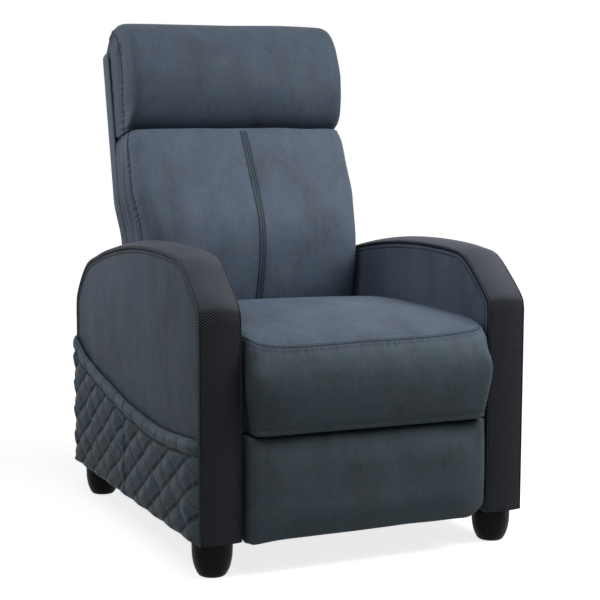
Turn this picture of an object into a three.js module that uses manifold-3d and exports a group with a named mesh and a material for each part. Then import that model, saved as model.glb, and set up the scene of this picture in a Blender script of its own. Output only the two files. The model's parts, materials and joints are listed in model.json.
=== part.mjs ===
// Push-back recliner: padded arms, a reclining back and a footrest that folds out on links.
// Millimetres, +Z up. The sitter faces -Y, so the sitter's left hand is on the +X side.
import * as THREE from 'three';
import { mergeVertices } from 'three/addons/utils/BufferGeometryUtils.js';
import Module from 'manifold-3d';

const wasm = await Module();
wasm.setup();

// Gaps
const rest = 0.3; // between faces that bear on each other
const running = 0.5; // round a pin in its hole
const overrun = 2; // how far a cutter reaches past what it cuts
const bite = 1; // how deep a boss or pin starts inside its own bar

// Chair
const seatWidth = 516; // between the arms
const seatHeight = 457; // crown of the seat cushion
const footHeight = 65.7;

// Arms, whose side outline is drawn from the front at the foot of the arm
const armWidth = 82;
const armLength = 794;
const armEdgeTop = 585; // highest point of the seam along the arm's edge
const armBandThickness = 5;
const armBandCrownTop = 17;
const armBandCrownFront = 6;
const armBoardThickness = 24;
const armPadRounding = 4;
const armPadDip = 3; // how far the outer pad sits behind the band's edge
const armEdgeShares = [[0, 0.77], [0.004, 0.8], [0.06, 0.89], [0.122, 0.963], [0.174, 0.982],
  [0.348, 1], [0.521, 0.994], [0.695, 0.963], [0.782, 0.936], [0.887, 0.892], [0.99, 0.752], [1, 0.69]];

// Side pockets, quilted outside, open along their top edge
const pocketSpace = 6.5; // between the pocket and the arm's pad
const pocketCloth = 3.2;
const pocketEdge = 9; // width of the closed front, bottom and back edges
const quiltWidth = 94;
const quiltHeight = 60;
const quiltLoft = 4.5;
const hemHeight = 36;
const hemLoft = 4;
const pocketEdgeShares = [[0, 0.37], [0.118, 0.358], [0.258, 0.352], [0.388, 0.367], [0.521, 0.39],
  [0.63, 0.42], [0.76, 0.457], [0.88, 0.5], [1, 0.573]]; // of the arm's length and edge height

// Feet
const footRadius = 39;
const footShares = [[0, 0], [0.58, 0], [0.66, 0.03], [0.78, 0.13], [0.9, 0.3], [0.975, 0.52], [1, 0.74],
  [1, 1]]; // of the foot's radius and height
const footFrontInset = 43;
const footBackInset = 58;
const footStudRadius = 5;
const footStudLength = 30;

// Rails between the arms
const baseRailDepth = 40;
const baseRailHeight = 40;
const baseRearRailHeight = 60;
const baseFrontRailStart = 290;
const baseRearRailStart = 640;
const baseRailRise = 4; // above the foot of the arm
const baseRearRailRise = 24;

// Mechanism: flat steel links side by side, in layers from the arm inwards
const linkThickness = 4;
const linkHalfWidth = 9;
const pinRadius = 5;
const collarWidth = 4; // round a pin, between two layers
const layerGap = 2;
const basePlateThickness = 3;
const swingGap = 1.7; // between the base plate and the swing links
const seatPlateGap = 1; // between the swing links and the seat plate
const plateCorner = 10;

// Seat plate
const plateFront = 110;
const plateLength = 510;
const plateHeight = 54;
const flangeThickness = 3;
const flangeWidth = 45;
const flangeClear = 60; // from the flange's rear end to the back hinge

// Swing links that carry the seat
const swingLength = 80;
const swingAngle = 52; // from the floor, leaning to the back at rest
const swingFrontInset = 190; // from the front end of the seat plate
const swingSpread = 220;
const swingDrop = 38; // below the top of the seat plate
const basePlateMargin = 70;
const basePlateAbove = 28;

// Footrest linkage
const driveLength = 178;
const driveAngle = 296;
const drivePivotInset = 44;
const drivePivotDrop = 16;
const linkSpread = 38; // between neighbouring pins of a bar
const scissorLength = 200.5;
const scissorAngle = 151.4;
const driveBarSide = 16;
const driveBarPlace = 90;
const rodPinPlace = 36;
const rodPinAdvance = 4.36; // angle of the rod's pin ahead of the drive link
const rodPinRadius = 4;

// Footrest
const footrestSideClear = 8; // from the footrest to the arm's plane
const footrestThickness = 42;
const footrestHeight = 198;
const footrestRounding = 12;
const footrestCrown = 9;
const footrestBoardThickness = 12;
const footrestBoardInset = 4;
const bracketThickness = 3;
const bracketFlange = 30;
const bracketHeight = 130;
const bracketStandOff = 21.7; // upper pin behind the board
const bracketTopDrop = 23; // upper pin below the board's top

// Back hinge and push rod
const hingeInset = 480; // from the front end of the seat plate
const hingeDrop = 13;
const hingePinRadius = 6;
const leverLength = 90.9;
const leverAngle = 266.68;
const rodLength = 411.1;
const rodAngle = 172.55;
const rodSlotHalf = 6; // travel of the pin along the slot, each way
const rodSlotPlay = 3.2; // travel of the pin across the slot, each way
const rodEyeWall = 5;

// Seat frame and springs
const seatCushionThickness = 105;
const springRadius = 1.8;
const springCount = 5;
const springBends = 5;
const springSwing = 22;
const springEndMargin = 8;
const railHeight = 34.5;
const railWidth = 37;
const railInset = 5; // from the seat plate's inner face
const railDepth = 36;
const seatFrameFront = 24;
const seatRailHingeClear = 30; // from the side rail's rear end to the back hinge
const seatRearRailStart = 440;

// Seat cushion and the padded border under its front edge
const seatSideClear = 4; // from the cushion to the arm
const seatFrontReach = 30; // ahead of the arms
const seatBack = 462;
const seatRounding = 18;
const seatCrown = 15;
const borderHeight = 86;
const borderBack = 22;
const borderRounding = 14;
const seatOutlineShares = [[0.02, 0], [0.006, 0.16], [0, 0.34], [0.006, 0.52], [0.026, 0.68], [0.07, 0.85],
  [0.14, 0.95], [0.26, 0.99], [0.42, 1], [0.62, 0.99], [0.8, 0.96], [0.93, 0.88], [0.99, 0.7], [1, 0.35],
  [0.985, 0]];
const borderOutlineShares = [[0.3, 0], [0.14, 0.1], [0.07, 0.4], [0.05, 0.75], [0.12, 1], [1, 1], [1, 0.1],
  [0.85, 0]];

// Back, drawn upright and then leant: its rear face is the plane at depth 0
const backLean = 12.5;
const hingeDepth = 94.8; // hinge ahead of the back's rear face
const backSideClear = 11; // from the back to the arm
const shellWall = 6;
const shellDepth = 60;
const shellHeight = 738; // from the hinge to the top of the shell
const shellSideStart = 138; // from the hinge up to the foot of the shell's sides
const shellCorner = 22;
const tailInset = 27; // of each side of the tail from the back's side
const tailClear = 31.9; // from the base's rear rail up to the tail's foot
const postWidth = 45;
const postBelow = 60;
const postBelowTop = 14;
const backTopRailHeight = 50;
const backBottomRailHeight = 50;
const backBottomRailPlace = 60;
const leverHalfWidth = 14;
const backCushionStart = 58; // from the hinge up to the foot of the cushion
const backCushionHeight = 469;
const backCushionDepth = 190;
const cushionClear = 2;
const backCrown = 14;
const backRounding = 26;
const backSeamDepth = 8;
const backSeamWidth = 12;
const backSeamStartShare = 0.1; // of the cushion's depth, behind which the seam isn't drawn in
const backOutlineShares = [[0, 0], [0.004, 0.7], [0.02, 0.86], [0.075, 0.96], [0.16, 1], [0.3, 1],
  [0.47, 0.975], [0.66, 0.88], [0.84, 0.755], [0.93, 0.7], [0.985, 0.64], [1, 0.5], [1, 0]];

// Headrest
const headrestHeight = 252;
const headrestDepth = 168;
const headrestRounding = 30;
const headrestCrown = 10;
const headrestTopCrown = 14;
const headrestShares = [[0, 0], [0, 0.55], [0.012, 0.72], [0.08, 0.86], [0.22, 0.96], [0.4, 1], [0.58, 0.975],
  [0.74, 0.9], [0.87, 0.76], [0.96, 0.56], [1, 0.3], [0.975, 0.04], [0.92, -0.18], [0.86, -0.31]];

// Smoothness
const arcSteps = 4;
const splineSteps = 3;
const armTopSteps = 2;
const pinSides = 12;
const footSides = 16;
const wireSides = 5;
const springSteps = 36;
const roundSteps = 3;
const domeSteps = 6;
const footrestSteps = 5;
// Places across a cushion, the seam in the middle
const acrossShares = [-0.8, -0.55, -0.3, -0.07, 0, 0.07, 0.3, 0.55, 0.8];
const mergeDistance = 1e-4;

// Materials
function finish(name, color, roughness, metalness = 0) {
  return new THREE.MeshStandardMaterial({ name, color, roughness, metalness });
}
const leather = finish('slate leather', '#4f5a6a', 0.5);
const darkLeather = finish('slate leather sides', '#434d5a', 0.55);
const bandVinyl = finish('black twill vinyl', '#2b292b', 0.45);
const steel = finish('black steel', '#26282b', 0.45, 0.8);
const springWire = finish('spring wire', '#6f7276', 0.35, 0.9);
const plywood = finish('plywood', '#b08a5c', 0.8);
const plastic = finish('black plastic', '#17181a', 0.5);

// Joins and cuts
function solid(geometry) {
  const plain = geometry.clone();
  plain.deleteAttribute('normal');
  plain.deleteAttribute('uv');
  const merged = mergeVertices(plain, mergeDistance);
  const vertProperties = Float32Array.from(merged.attributes.position.array);
  const triVerts = Uint32Array.from(merged.index.array);
  return new wasm.Manifold(new wasm.Mesh({ numProp: 3, vertProperties, triVerts }));
}

function surface(body) {
  const { vertProperties, triVerts } = body.getMesh();
  const geometry = new THREE.BufferGeometry();
  geometry.setAttribute('position', new THREE.BufferAttribute(Float32Array.from(vertProperties), 3));
  geometry.setIndex(new THREE.BufferAttribute(Uint32Array.from(triVerts), 1));
  geometry.computeVertexNormals();
  return geometry;
}

function joined(...geometries) {
  return surface(geometries.map(solid).reduce((whole, piece) => whole.add(piece)));
}

function cut(geometry, ...cutters) {
  return surface(cutters.map(solid).reduce((whole, cutter) => whole.subtract(cutter), solid(geometry)));
}

// The same piece on the chair's other side
function mirrored(geometry) {
  const twin = geometry.index ? geometry.toNonIndexed() : geometry.clone();
  twin.scale(-1, 1, 1);
  const place = twin.attributes.position;
  const corner = new THREE.Vector3();
  const next = new THREE.Vector3();
  for (let i = 0; i < place.count; i += 3) {
    corner.fromBufferAttribute(place, i);
    next.fromBufferAttribute(place, i + 1);
    place.setXYZ(i, next.x, next.y, next.z);
    place.setXYZ(i + 1, corner.x, corner.y, corner.z);
  }
  twin.computeVertexNormals();
  return twin;
}

// Drawing in the side view, where x is Y and y is Z, and depth runs along X
const sideView = new THREE.Matrix4().makeBasis(
  new THREE.Vector3(0, 1, 0),
  new THREE.Vector3(0, 0, 1),
  new THREE.Vector3(1, 0, 0),
);
const radians = THREE.MathUtils.degToRad;

function along(start, length, angle) {
  const offset = new THREE.Vector2(length, 0).rotateAround(new THREE.Vector2(), radians(angle));
  return offset.add(start);
}

function slab(shape, fromX, toX) {
  const geometry = new THREE.ExtrudeGeometry(shape, {
    depth: toX - fromX,
    bevelEnabled: false,
    curveSegments: arcSteps,
  });
  return geometry.applyMatrix4(sideView).translate(fromX, 0, 0);
}

function block(fromX, toX, fromY, toY, fromZ, toZ) {
  const geometry = new THREE.BoxGeometry(toX - fromX, toY - fromY, toZ - fromZ);
  return geometry.translate((fromX + toX) / 2, (fromY + toY) / 2, (fromZ + toZ) / 2);
}

function pin(place, fromX, toX, radius) {
  const geometry = new THREE.CylinderGeometry(radius, radius, toX - fromX, pinSides);
  return geometry.rotateZ(-Math.PI / 2).translate((fromX + toX) / 2, place.x, place.y);
}

function hole(place, fromX, toX, radius) {
  return pin(place, fromX - overrun, toX + overrun, radius + running);
}

function disc(place, radius) {
  const points = [];
  const count = arcSteps * 4;
  for (let i = 0; i < count; i += 1) {
    points.push(along(place, radius, (i / count) * 360));
  }
  return points;
}

// The outline that a string pulled round all the points would take
function wrapped(points) {
  const sorted = [...points].sort((a, b) => a.x - b.x || a.y - b.y);
  const half = (list) => {
    const chain = [];
    for (const point of list) {
      while (chain.length > 1) {
        const last = chain[chain.length - 1];
        const before = chain[chain.length - 2];
        if (last.clone().sub(before).cross(point.clone().sub(last)) > 0) break;
        chain.pop();
      }
      chain.push(point);
    }
    return chain.slice(0, -1);
  };
  return new THREE.Shape([...half(sorted), ...half(sorted.reverse())]);
}

function bar(start, end, halfWidth = linkHalfWidth) {
  return wrapped([...disc(start, halfWidth), ...disc(end, halfWidth)]);
}

// Corner-rounded board in the side view
function plateShape(fromY, toY, fromZ, toZ, corner) {
  const low = new THREE.Vector2(fromY + corner, fromZ + corner);
  const high = new THREE.Vector2(toY - corner, toZ - corner);
  const corners = [low, new THREE.Vector2(high.x, low.y), high, new THREE.Vector2(low.x, high.y)];
  return wrapped(corners.flatMap((place) => disc(place, corner)));
}

// Moves an outline inwards by a distance, corner by corner
function inset(outline, distance) {
  return outline.map((point, i) => {
    const before = outline[(i + outline.length - 1) % outline.length];
    const after = outline[(i + 1) % outline.length];
    const first = point.clone().sub(before).normalize();
    const second = after.clone().sub(point).normalize();
    const inward = new THREE.Vector2(-first.y - second.y, first.x + second.x);
    return point.clone().addScaledVector(inward, distance / (1 + first.dot(second)));
  });
}

// Skin over a row of closed rings with flat ends, its faces turned outwards
function loft(rings) {
  const size = rings[0].length;
  const points = rings.flat();
  const faces = [];
  for (let r = 0; r + 1 < rings.length; r += 1) {
    for (let k = 0; k < size; k += 1) {
      const a = r * size + k;
      const b = r * size + ((k + 1) % size);
      faces.push([a, b, b + size], [a, b + size, a + size]);
    }
  }
  const last = points.length - size;
  for (const [a, b, c] of flatFaces(rings[0])) faces.push([c, b, a]);
  for (const [a, b, c] of flatFaces(rings[rings.length - 1])) faces.push([last + a, last + b, last + c]);
  const volume = faces.reduce((sum, [a, b, c]) => sum + points[a].dot(points[b].clone().cross(points[c])), 0);
  const outward = volume > 0 ? faces : faces.map(([a, b, c]) => [c, b, a]);
  const geometry = new THREE.BufferGeometry().setFromPoints(points);
  geometry.setIndex(outward.flat());
  geometry.computeVertexNormals();
  return geometry;
}

function flatFaces(ring) {
  const normal = new THREE.Vector3();
  ring.forEach((point, k) => normal.add(point.clone().cross(ring[(k + 1) % ring.length])));
  const across = ring[1].clone().sub(ring[0]).normalize();
  const up = normal.clone().normalize().cross(across);
  const flat = ring.map((point) => new THREE.Vector2(point.dot(across), point.dot(up)));
  return THREE.ShapeUtils.triangulateShape(flat, []);
}

// A stuffed body: a side outline carried across X, drawn in round its ends, then pressed by shaping
function stuffed(outline, halfWidth, rounding, shaping) {
  const bounds = new THREE.Box2().setFromPoints(outline);
  const centre = bounds.getCenter(new THREE.Vector2());
  const halfSize = bounds.getSize(new THREE.Vector2()).multiplyScalar(0.5);
  const drawnIn = (point, draw) => point.clone().sub(centre)
    .multiply(new THREE.Vector2(1 - draw / halfSize.x, 1 - draw / halfSize.y)).add(centre);
  const straight = halfWidth - rounding;
  const stations = [];
  for (let i = 0; i < roundSteps; i += 1) {
    const turn = (i / roundSteps) * (Math.PI / 2);
    stations.push([straight + rounding * Math.cos(turn), rounding * (1 - Math.sin(turn))]);
  }
  const ends = stations.map(([x, draw]) => [-x, draw]);
  const middle = acrossShares.map((share) => [share * straight, 0]);
  const all = [...ends, [-straight, 0], ...middle, [straight, 0], ...stations.reverse()];
  return loft(all.map(([x, draw]) => outline.map((point) => {
    const shaped = shaping(drawnIn(point, draw), x / halfWidth, x);
    return new THREE.Vector3(x, shaped.x, shaped.y);
  })));
}

function smooth(points, steps = splineSteps) {
  return new THREE.SplineCurve(points).getPoints((points.length - 1) * steps);
}

function smoothStep(share) {
  return THREE.MathUtils.smoothstep(share, 0, 1);
}

// The scene graph
const recliner = new THREE.Group();
const back = new THREE.Group();

function place(name, geometry, material, group = recliner) {
  const mesh = new THREE.Mesh(geometry, material);
  mesh.name = name;
  group.add(mesh);
}

function placePair(name, geometry, material, group = recliner) {
  place(`left_${name}`, geometry, material, group);
  place(`right_${name}`, mirrored(geometry), material, group);
}

// Places that several pieces share
const seatHalf = seatWidth / 2;
const cushionHalf = seatHalf - seatSideClear;
const footrestHalf = seatHalf - footrestSideClear;
const backHalf = seatHalf - backSideClear;
const armBottom = footHeight + rest;
const armEdgeRise = armEdgeTop - armBottom;
const armMiddle = seatHalf + armWidth / 2;
const armOuter = seatHalf + armWidth;
const basePlateOuter = seatHalf - rest;
const basePlateInner = basePlateOuter - basePlateThickness;
const swingOuter = basePlateInner - swingGap;
const swingInner = swingOuter - linkThickness;
const seatPlateOuter = swingInner - seatPlateGap;
const seatPlateInner = seatPlateOuter - linkThickness;
const driveOuter = seatPlateInner - layerGap;
const driveInner = driveOuter - linkThickness;
const scissorOuter = driveInner - layerGap;
const scissorInner = scissorOuter - linkThickness;
const leverOuter = scissorInner - layerGap;
const leverInner = leverOuter - linkThickness;

const frontRailBottom = armBottom + baseRailRise;
const frontRailTop = frontRailBottom + baseRailHeight;
const rearRailBottom = armBottom + baseRearRailRise;
const rearRailTop = rearRailBottom + baseRearRailHeight;

const cushionBottom = seatHeight - seatCushionThickness;
const springPlace = cushionBottom - rest - springRadius;
const railTop = springPlace - springRadius - rest;
const railBottom = railTop - railHeight;
const plateTop = railBottom - rest;
const seatFrameHalf = seatPlateInner - railInset;

const drivePivot = new THREE.Vector2(plateFront + drivePivotInset, plateTop - drivePivotDrop);
const scissorPivot = along(drivePivot, driveLength, driveAngle);
const driveEnd = along(scissorPivot, linkSpread, driveAngle);
const idlerPivot = along(drivePivot, -linkSpread, scissorAngle);
const idlerEnd = along(scissorPivot, -linkSpread, scissorAngle);
const bracketPivot = along(scissorPivot, scissorLength, scissorAngle);
const tieEnd = along(driveEnd, scissorLength, scissorAngle);
const rodPin = along(drivePivot, rodPinPlace, driveAngle + rodPinAdvance);

const swingSeatPivots = [0, swingSpread].map(
  (shift) => new THREE.Vector2(plateFront + swingFrontInset + shift, plateTop - swingDrop),
);
const swingBasePivots = swingSeatPivots.map((pivot) => along(pivot, -swingLength, swingAngle));
const hinge = new THREE.Vector2(plateFront + hingeInset, plateTop - hingeDrop);
const leverEnd = along(hinge, leverLength, leverAngle);

// Arms
function armOutline() {
  const edge = armEdgeShares.map(([y, z]) => new THREE.Vector2(y * armLength, armBottom + z * armEdgeRise));
  const top = smooth(edge, armTopSteps).reverse();
  return [new THREE.Vector2(0, armBottom), new THREE.Vector2(armLength, armBottom), ...top];
}

// What the band goes round: the outline less the band, but still standing on the arm's foot
function armCore(outline, distance) {
  const core = inset(outline, distance);
  core[0].y = armBottom;
  core[1].y = armBottom;
  return core;
}

function armBoard(outline) {
  const shape = new THREE.Shape(armCore(outline, armBandThickness + rest));
  const half = armBoardThickness / 2;
  const board = slab(shape, armMiddle - half, armMiddle + half);
  const studs = [footFrontInset, armLength - footBackInset].map((y) => {
    const cutter = new THREE.CylinderGeometry(footStudRadius + running, footStudRadius + running,
      2 * (footStudLength + rest), pinSides);
    return cutter.rotateX(Math.PI / 2).translate(armMiddle, y, armBottom);
  });
  return cut(board, ...studs);
}

function armPad(outline, fromX, toX) {
  const core = armCore(outline, armBandThickness + rest);
  const shape = new THREE.Shape(inset(core, armPadRounding));
  const geometry = new THREE.ExtrudeGeometry(shape, {
    depth: toX - fromX - 2 * armPadRounding,
    bevelThickness: armPadRounding,
    bevelSize: armPadRounding,
    bevelSegments: 2,
  });
  return geometry.applyMatrix4(sideView).translate(fromX + armPadRounding, 0, 0);
}

// Band round the front, top and back of the arm, crowned across its width
function armBand(outline) {
  const path = outline.slice(1).concat(outline.slice(0, 1));
  const inner = inset(outline, armBandThickness);
  const innerPath = inner.slice(1).concat(inner.slice(0, 1));
  const rings = path.map((point, i) => {
    const before = path[Math.max(i - 1, 0)];
    const after = path[Math.min(i + 1, path.length - 1)];
    const onward = after.clone().sub(before).normalize();
    const outward = new THREE.Vector2(onward.y, -onward.x);
    const crown = THREE.MathUtils.lerp(armBandCrownFront, armBandCrownTop, smoothStep(outward.y));
    const ring = [];
    for (let k = 0; k <= domeSteps; k += 1) {
      const share = (2 * k) / domeSteps - 1;
      const dome = point.clone().addScaledVector(outward, crown * (1 - share * share));
      ring.push(new THREE.Vector3(armMiddle + share * armWidth / 2, dome.x, dome.y));
    }
    const [low, high] = [armOuter, seatHalf];
    ring.push(new THREE.Vector3(low, innerPath[i].x, innerPath[i].y));
    ring.push(new THREE.Vector3(high, innerPath[i].x, innerPath[i].y));
    return ring;
  });
  return loft(rings);
}

function pocketOutline(drop = 0) {
  const edge = pocketEdgeShares.map(
    ([y, z]) => new THREE.Vector2(y * armLength, armBottom + z * armEdgeRise - drop),
  );
  const top = smooth(edge).reverse();
  return [new THREE.Vector2(0, armBottom), new THREE.Vector2(armLength, armBottom), ...top];
}

// Field of quilted lozenges, raised in their middles, over a flat back
function quiltField(fromX) {
  const stepY = quiltWidth / 2;
  const stepZ = quiltHeight / 2;
  const countY = Math.ceil(armLength / stepY) + 2;
  const countZ = Math.ceil(armEdgeRise / stepZ) + 2;
  const node = (i, j, x) => new THREE.Vector3(x, (i - 1) * stepY, armBottom + (j - 1) * stepZ);
  const face = (i, j) => fromX + pocketCloth + ((i + j) % 2 === 0 ? 0 : quiltLoft);
  const points = [];
  for (let side = 0; side < 2; side += 1) {
    for (let i = 0; i <= countY; i += 1) {
      for (let j = 0; j <= countZ; j += 1) points.push(node(i, j, side === 0 ? fromX : face(i, j)));
    }
  }
  const row = countZ + 1;
  const layer = (countY + 1) * row;
  const faces = [];
  const quad = (a, b, c, d) => faces.push([a, b, c], [a, c, d]);
  for (let i = 0; i < countY; i += 1) {
    for (let j = 0; j < countZ; j += 1) {
      const [a, b, c, d] = [i * row + j, (i + 1) * row + j, (i + 1) * row + j + 1, i * row + j + 1];
      const even = (i + j) % 2 === 0;
      if (even) quad(a + layer, b + layer, c + layer, d + layer);
      else quad(b + layer, c + layer, d + layer, a + layer);
      if (even) quad(a, d, c, b);
      else quad(b, a, d, c);
    }
  }
  for (let i = 0; i < countY; i += 1) {
    const [a, b] = [i * row, (i + 1) * row];
    quad(a, b, b + layer, a + layer);
    quad(b + countZ, a + countZ, a + countZ + layer, b + countZ + layer);
  }
  for (let j = 0; j < countZ; j += 1) {
    const [a, b] = [j, countY * row + j];
    quad(a + 1, a, a + layer, a + 1 + layer);
    quad(b, b + 1, b + 1 + layer, b + layer);
  }
  const geometry = new THREE.BufferGeometry().setFromPoints(points);
  geometry.setIndex(faces.flat());
  return geometry;
}

function sidePocket() {
  const edgeFrom = armOuter - armPadDip + rest;
  const clothFrom = edgeFrom + pocketSpace;
  const outline = new THREE.Shape(pocketOutline());
  const whole = solid(slab(outline, clothFrom, clothFrom + pocketCloth + quiltLoft + overrun));
  const quilt = solid(quiltField(clothFrom)).intersect(whole);
  const hemLower = new THREE.Shape(pocketOutline(hemHeight));
  const hem = solid(slab(outline, clothFrom, clothFrom + pocketCloth + hemLoft))
    .subtract(solid(slab(hemLower, clothFrom - overrun, clothFrom + pocketCloth + quiltLoft + overrun)));
  const behindBand = new THREE.Shape(armCore(pocketOutline(), armBandThickness + 2 * rest));
  const edges = solid(slab(outline, armOuter + rest, clothFrom + bite))
    .add(solid(slab(behindBand, edgeFrom, clothFrom + bite)))
    .subtract(solid(block(
      edgeFrom - overrun, clothFrom,
      pocketEdge, armLength - pocketEdge,
      armBottom + pocketEdge, armEdgeTop,
    )));
  return surface(quilt.add(hem).add(edges));
}

function buildArms() {
  const outline = armOutline();
  const half = armBoardThickness / 2;
  placePair('arm_frame', armBoard(outline), plywood);
  placePair('arm_inner_panel', armPad(outline, seatHalf, armMiddle - half - rest), leather);
  placePair('arm_outer_panel', armPad(outline, armMiddle + half + rest, armOuter - armPadDip), leather);
  placePair('arm_band', armBand(outline), bandVinyl);
  placePair('side_pocket', sidePocket(), darkLeather);
}

// Feet, each with its threaded stud
function foot(y) {
  const bun = footShares.map(([r, z]) => [r * footRadius, z * footHeight]);
  const stud = [footHeight, footHeight + footStudLength].map((z) => [footStudRadius, z]);
  const profile = [...bun, ...stud, [0, footHeight + footStudLength]]
    .map(([r, z]) => new THREE.Vector2(r, z));
  return new THREE.LatheGeometry(profile, footSides).rotateX(Math.PI / 2).translate(armMiddle, y, 0);
}

function buildFeet() {
  placePair('front_foot', foot(footFrontInset), plastic);
  placePair('rear_foot', foot(armLength - footBackInset), plastic);
}

// Base rails and the plates that carry the swing links
function buildBase() {
  const reach = seatHalf - rest;
  place('base_front_rail', block(-reach, reach, baseFrontRailStart, baseFrontRailStart + baseRailDepth,
    frontRailBottom, frontRailTop), plywood);
  place('base_rear_rail', block(-reach, reach, baseRearRailStart, baseRearRailStart + baseRailDepth,
    rearRailBottom, rearRailTop), plywood);
  const [front, rear] = swingBasePivots;
  const shape = plateShape(front.x - basePlateMargin, rear.x + basePlateMargin,
    frontRailTop + rest, front.y + basePlateAbove, plateCorner);
  const holes = swingBasePivots.map((pivot) => hole(pivot, basePlateInner, basePlateOuter, pinRadius));
  placePair('base_plate', cut(slab(shape, basePlateInner, basePlateOuter), ...holes), steel);
}

// A boss and a pin on a bar, towards the arm or towards the middle of the chair
function pinOut(pivot, face, collarEnd, end, radius = pinRadius) {
  const collar = radius + collarWidth;
  return [pin(pivot, face - bite, collarEnd, collar), pin(pivot, face - bite, end, radius)];
}

function pinIn(pivot, face, collarEnd, end, radius = pinRadius) {
  const collar = radius + collarWidth;
  return [pin(pivot, collarEnd, face + bite, collar), pin(pivot, end, face + bite, radius)];
}

function buildSwingLinks() {
  const names = ['front_swing_link', 'rear_swing_link'];
  names.forEach((name, i) => {
    const [base, seat] = [swingBasePivots[i], swingSeatPivots[i]];
    const link = joined(
      slab(bar(base, seat), swingInner, swingOuter),
      ...pinOut(base, swingOuter, basePlateInner - rest, basePlateOuter),
      ...pinIn(seat, swingInner, seatPlateOuter + rest, seatPlateInner),
    );
    placePair(name, link, steel);
  });
}

// Seat: side plates, rails, springs, cushion and front border
function seatPlate() {
  const rear = plateFront + plateLength;
  const web = slab(plateShape(plateFront, rear, plateTop - plateHeight, plateTop, plateCorner),
    seatPlateInner, seatPlateOuter);
  const flange = block(seatPlateInner - flangeWidth, seatPlateOuter, plateFront + plateCorner,
    hinge.x - flangeClear, plateTop - flangeThickness, plateTop);
  const pivots = [drivePivot, idlerPivot, ...swingSeatPivots];
  const holes = pivots.map((pivot) => hole(pivot, seatPlateInner, seatPlateOuter, pinRadius));
  holes.push(hole(hinge, seatPlateInner, seatPlateOuter, hingePinRadius));
  return cut(joined(web, flange), ...holes);
}

function seatSpring(x) {
  const start = seatFrameFront + springEndMargin;
  const end = seatRearRailStart + railDepth - springEndMargin;
  const points = [];
  const count = springBends * 4 + 2;
  for (let i = 0; i <= count; i += 1) {
    const swing = i === 0 || i === count ? 0 : Math.sin((i - 1) * Math.PI / 2);
    points.push(new THREE.Vector3(x + swing * springSwing, THREE.MathUtils.lerp(start, end, i / count),
      springPlace));
  }
  const wire = new THREE.Shape(disc(new THREE.Vector2(), springRadius).filter((_, i) => i % wireSides === 0));
  return new THREE.ExtrudeGeometry(wire, {
    steps: springSteps,
    extrudePath: new THREE.CatmullRomCurve3(points),
    curveSegments: 1,
  });
}

function sideOutline(shares, fromY, toY, fromZ, toZ) {
  return shares.map(([y, z]) => new THREE.Vector2(
    THREE.MathUtils.lerp(fromY, toY, y),
    THREE.MathUtils.lerp(fromZ, toZ, z),
  )).reverse();
}

function buildSeat() {
  placePair('seat_plate', seatPlate(), steel);
  const inner = seatFrameHalf - railWidth;
  placePair('seat_side_rail', block(inner, seatFrameHalf, seatFrameFront, hinge.x - seatRailHingeClear,
    railBottom, railTop), plywood);
  const reach = inner - rest;
  place('seat_front_rail', block(-reach, reach, seatFrameFront, seatFrameFront + railDepth,
    railBottom, railTop), plywood);
  place('seat_rear_rail', block(-reach, reach, seatRearRailStart, seatRearRailStart + railDepth,
    railBottom, railTop), plywood);
  const pitch = (2 * reach) / springCount;
  for (let i = 0; i < springCount; i += 1) {
    place(`seat_spring_${i + 1}`, seatSpring(-reach + (i + 0.5) * pitch), springWire);
  }
  const outline = sideOutline(seatOutlineShares, -seatFrontReach, seatBack, cushionBottom, seatHeight);
  const cushion = stuffed(outline, cushionHalf, seatRounding, (point, share) => {
    const lift = (point.y - cushionBottom) / seatCushionThickness;
    return new THREE.Vector2(point.x, point.y - seatCrown * share * share * lift);
  });
  place('seat_cushion', cushion, leather);
  const borderTop = cushionBottom - rest;
  const border = sideOutline(borderOutlineShares, -seatFrontReach, borderBack,
    borderTop - borderHeight, borderTop);
  place('seat_front_border', stuffed(border, cushionHalf, borderRounding, (point) => point), leather);
}

// Footrest linkage
function buildDriveLinks() {
  const plain = joined(
    slab(bar(drivePivot, driveEnd), driveInner, driveOuter),
    ...pinOut(drivePivot, driveOuter, seatPlateInner - rest, seatPlateOuter),
    ...pinIn(rodPin, driveInner, scissorOuter + rest, scissorInner, rodPinRadius),
  );
  const holes = [scissorPivot, driveEnd].map((pivot) => hole(pivot, driveInner, driveOuter, pinRadius));
  placePair('drive_link', cut(plain, ...holes), steel);
  const centre = along(drivePivot, driveBarPlace, driveAngle);
  const reach = driveInner - rest;
  const side = driveBarSide / 2;
  place('drive_bar', block(-reach, reach, centre.x - side, centre.x + side, centre.y - side,
    centre.y + side), steel);
}

function buildFootrestLinks() {
  const idler = joined(
    slab(bar(idlerPivot, idlerEnd), driveInner, driveOuter),
    ...pinOut(idlerPivot, driveOuter, seatPlateInner - rest, seatPlateOuter),
  );
  placePair('idler_link', cut(idler, hole(idlerEnd, driveInner, driveOuter, pinRadius)), steel);
  const pinned = (start, end, pivots) => joined(
    slab(bar(start, end), scissorInner, scissorOuter),
    ...pivots.flatMap((pivot) => pinOut(pivot, scissorOuter, driveInner - rest, driveOuter)),
  );
  placePair('scissor_link', pinned(idlerEnd, bracketPivot, [idlerEnd, scissorPivot, bracketPivot]), steel);
  placePair('tie_link', pinned(driveEnd, tieEnd, [driveEnd, tieEnd]), steel);
}

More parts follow.
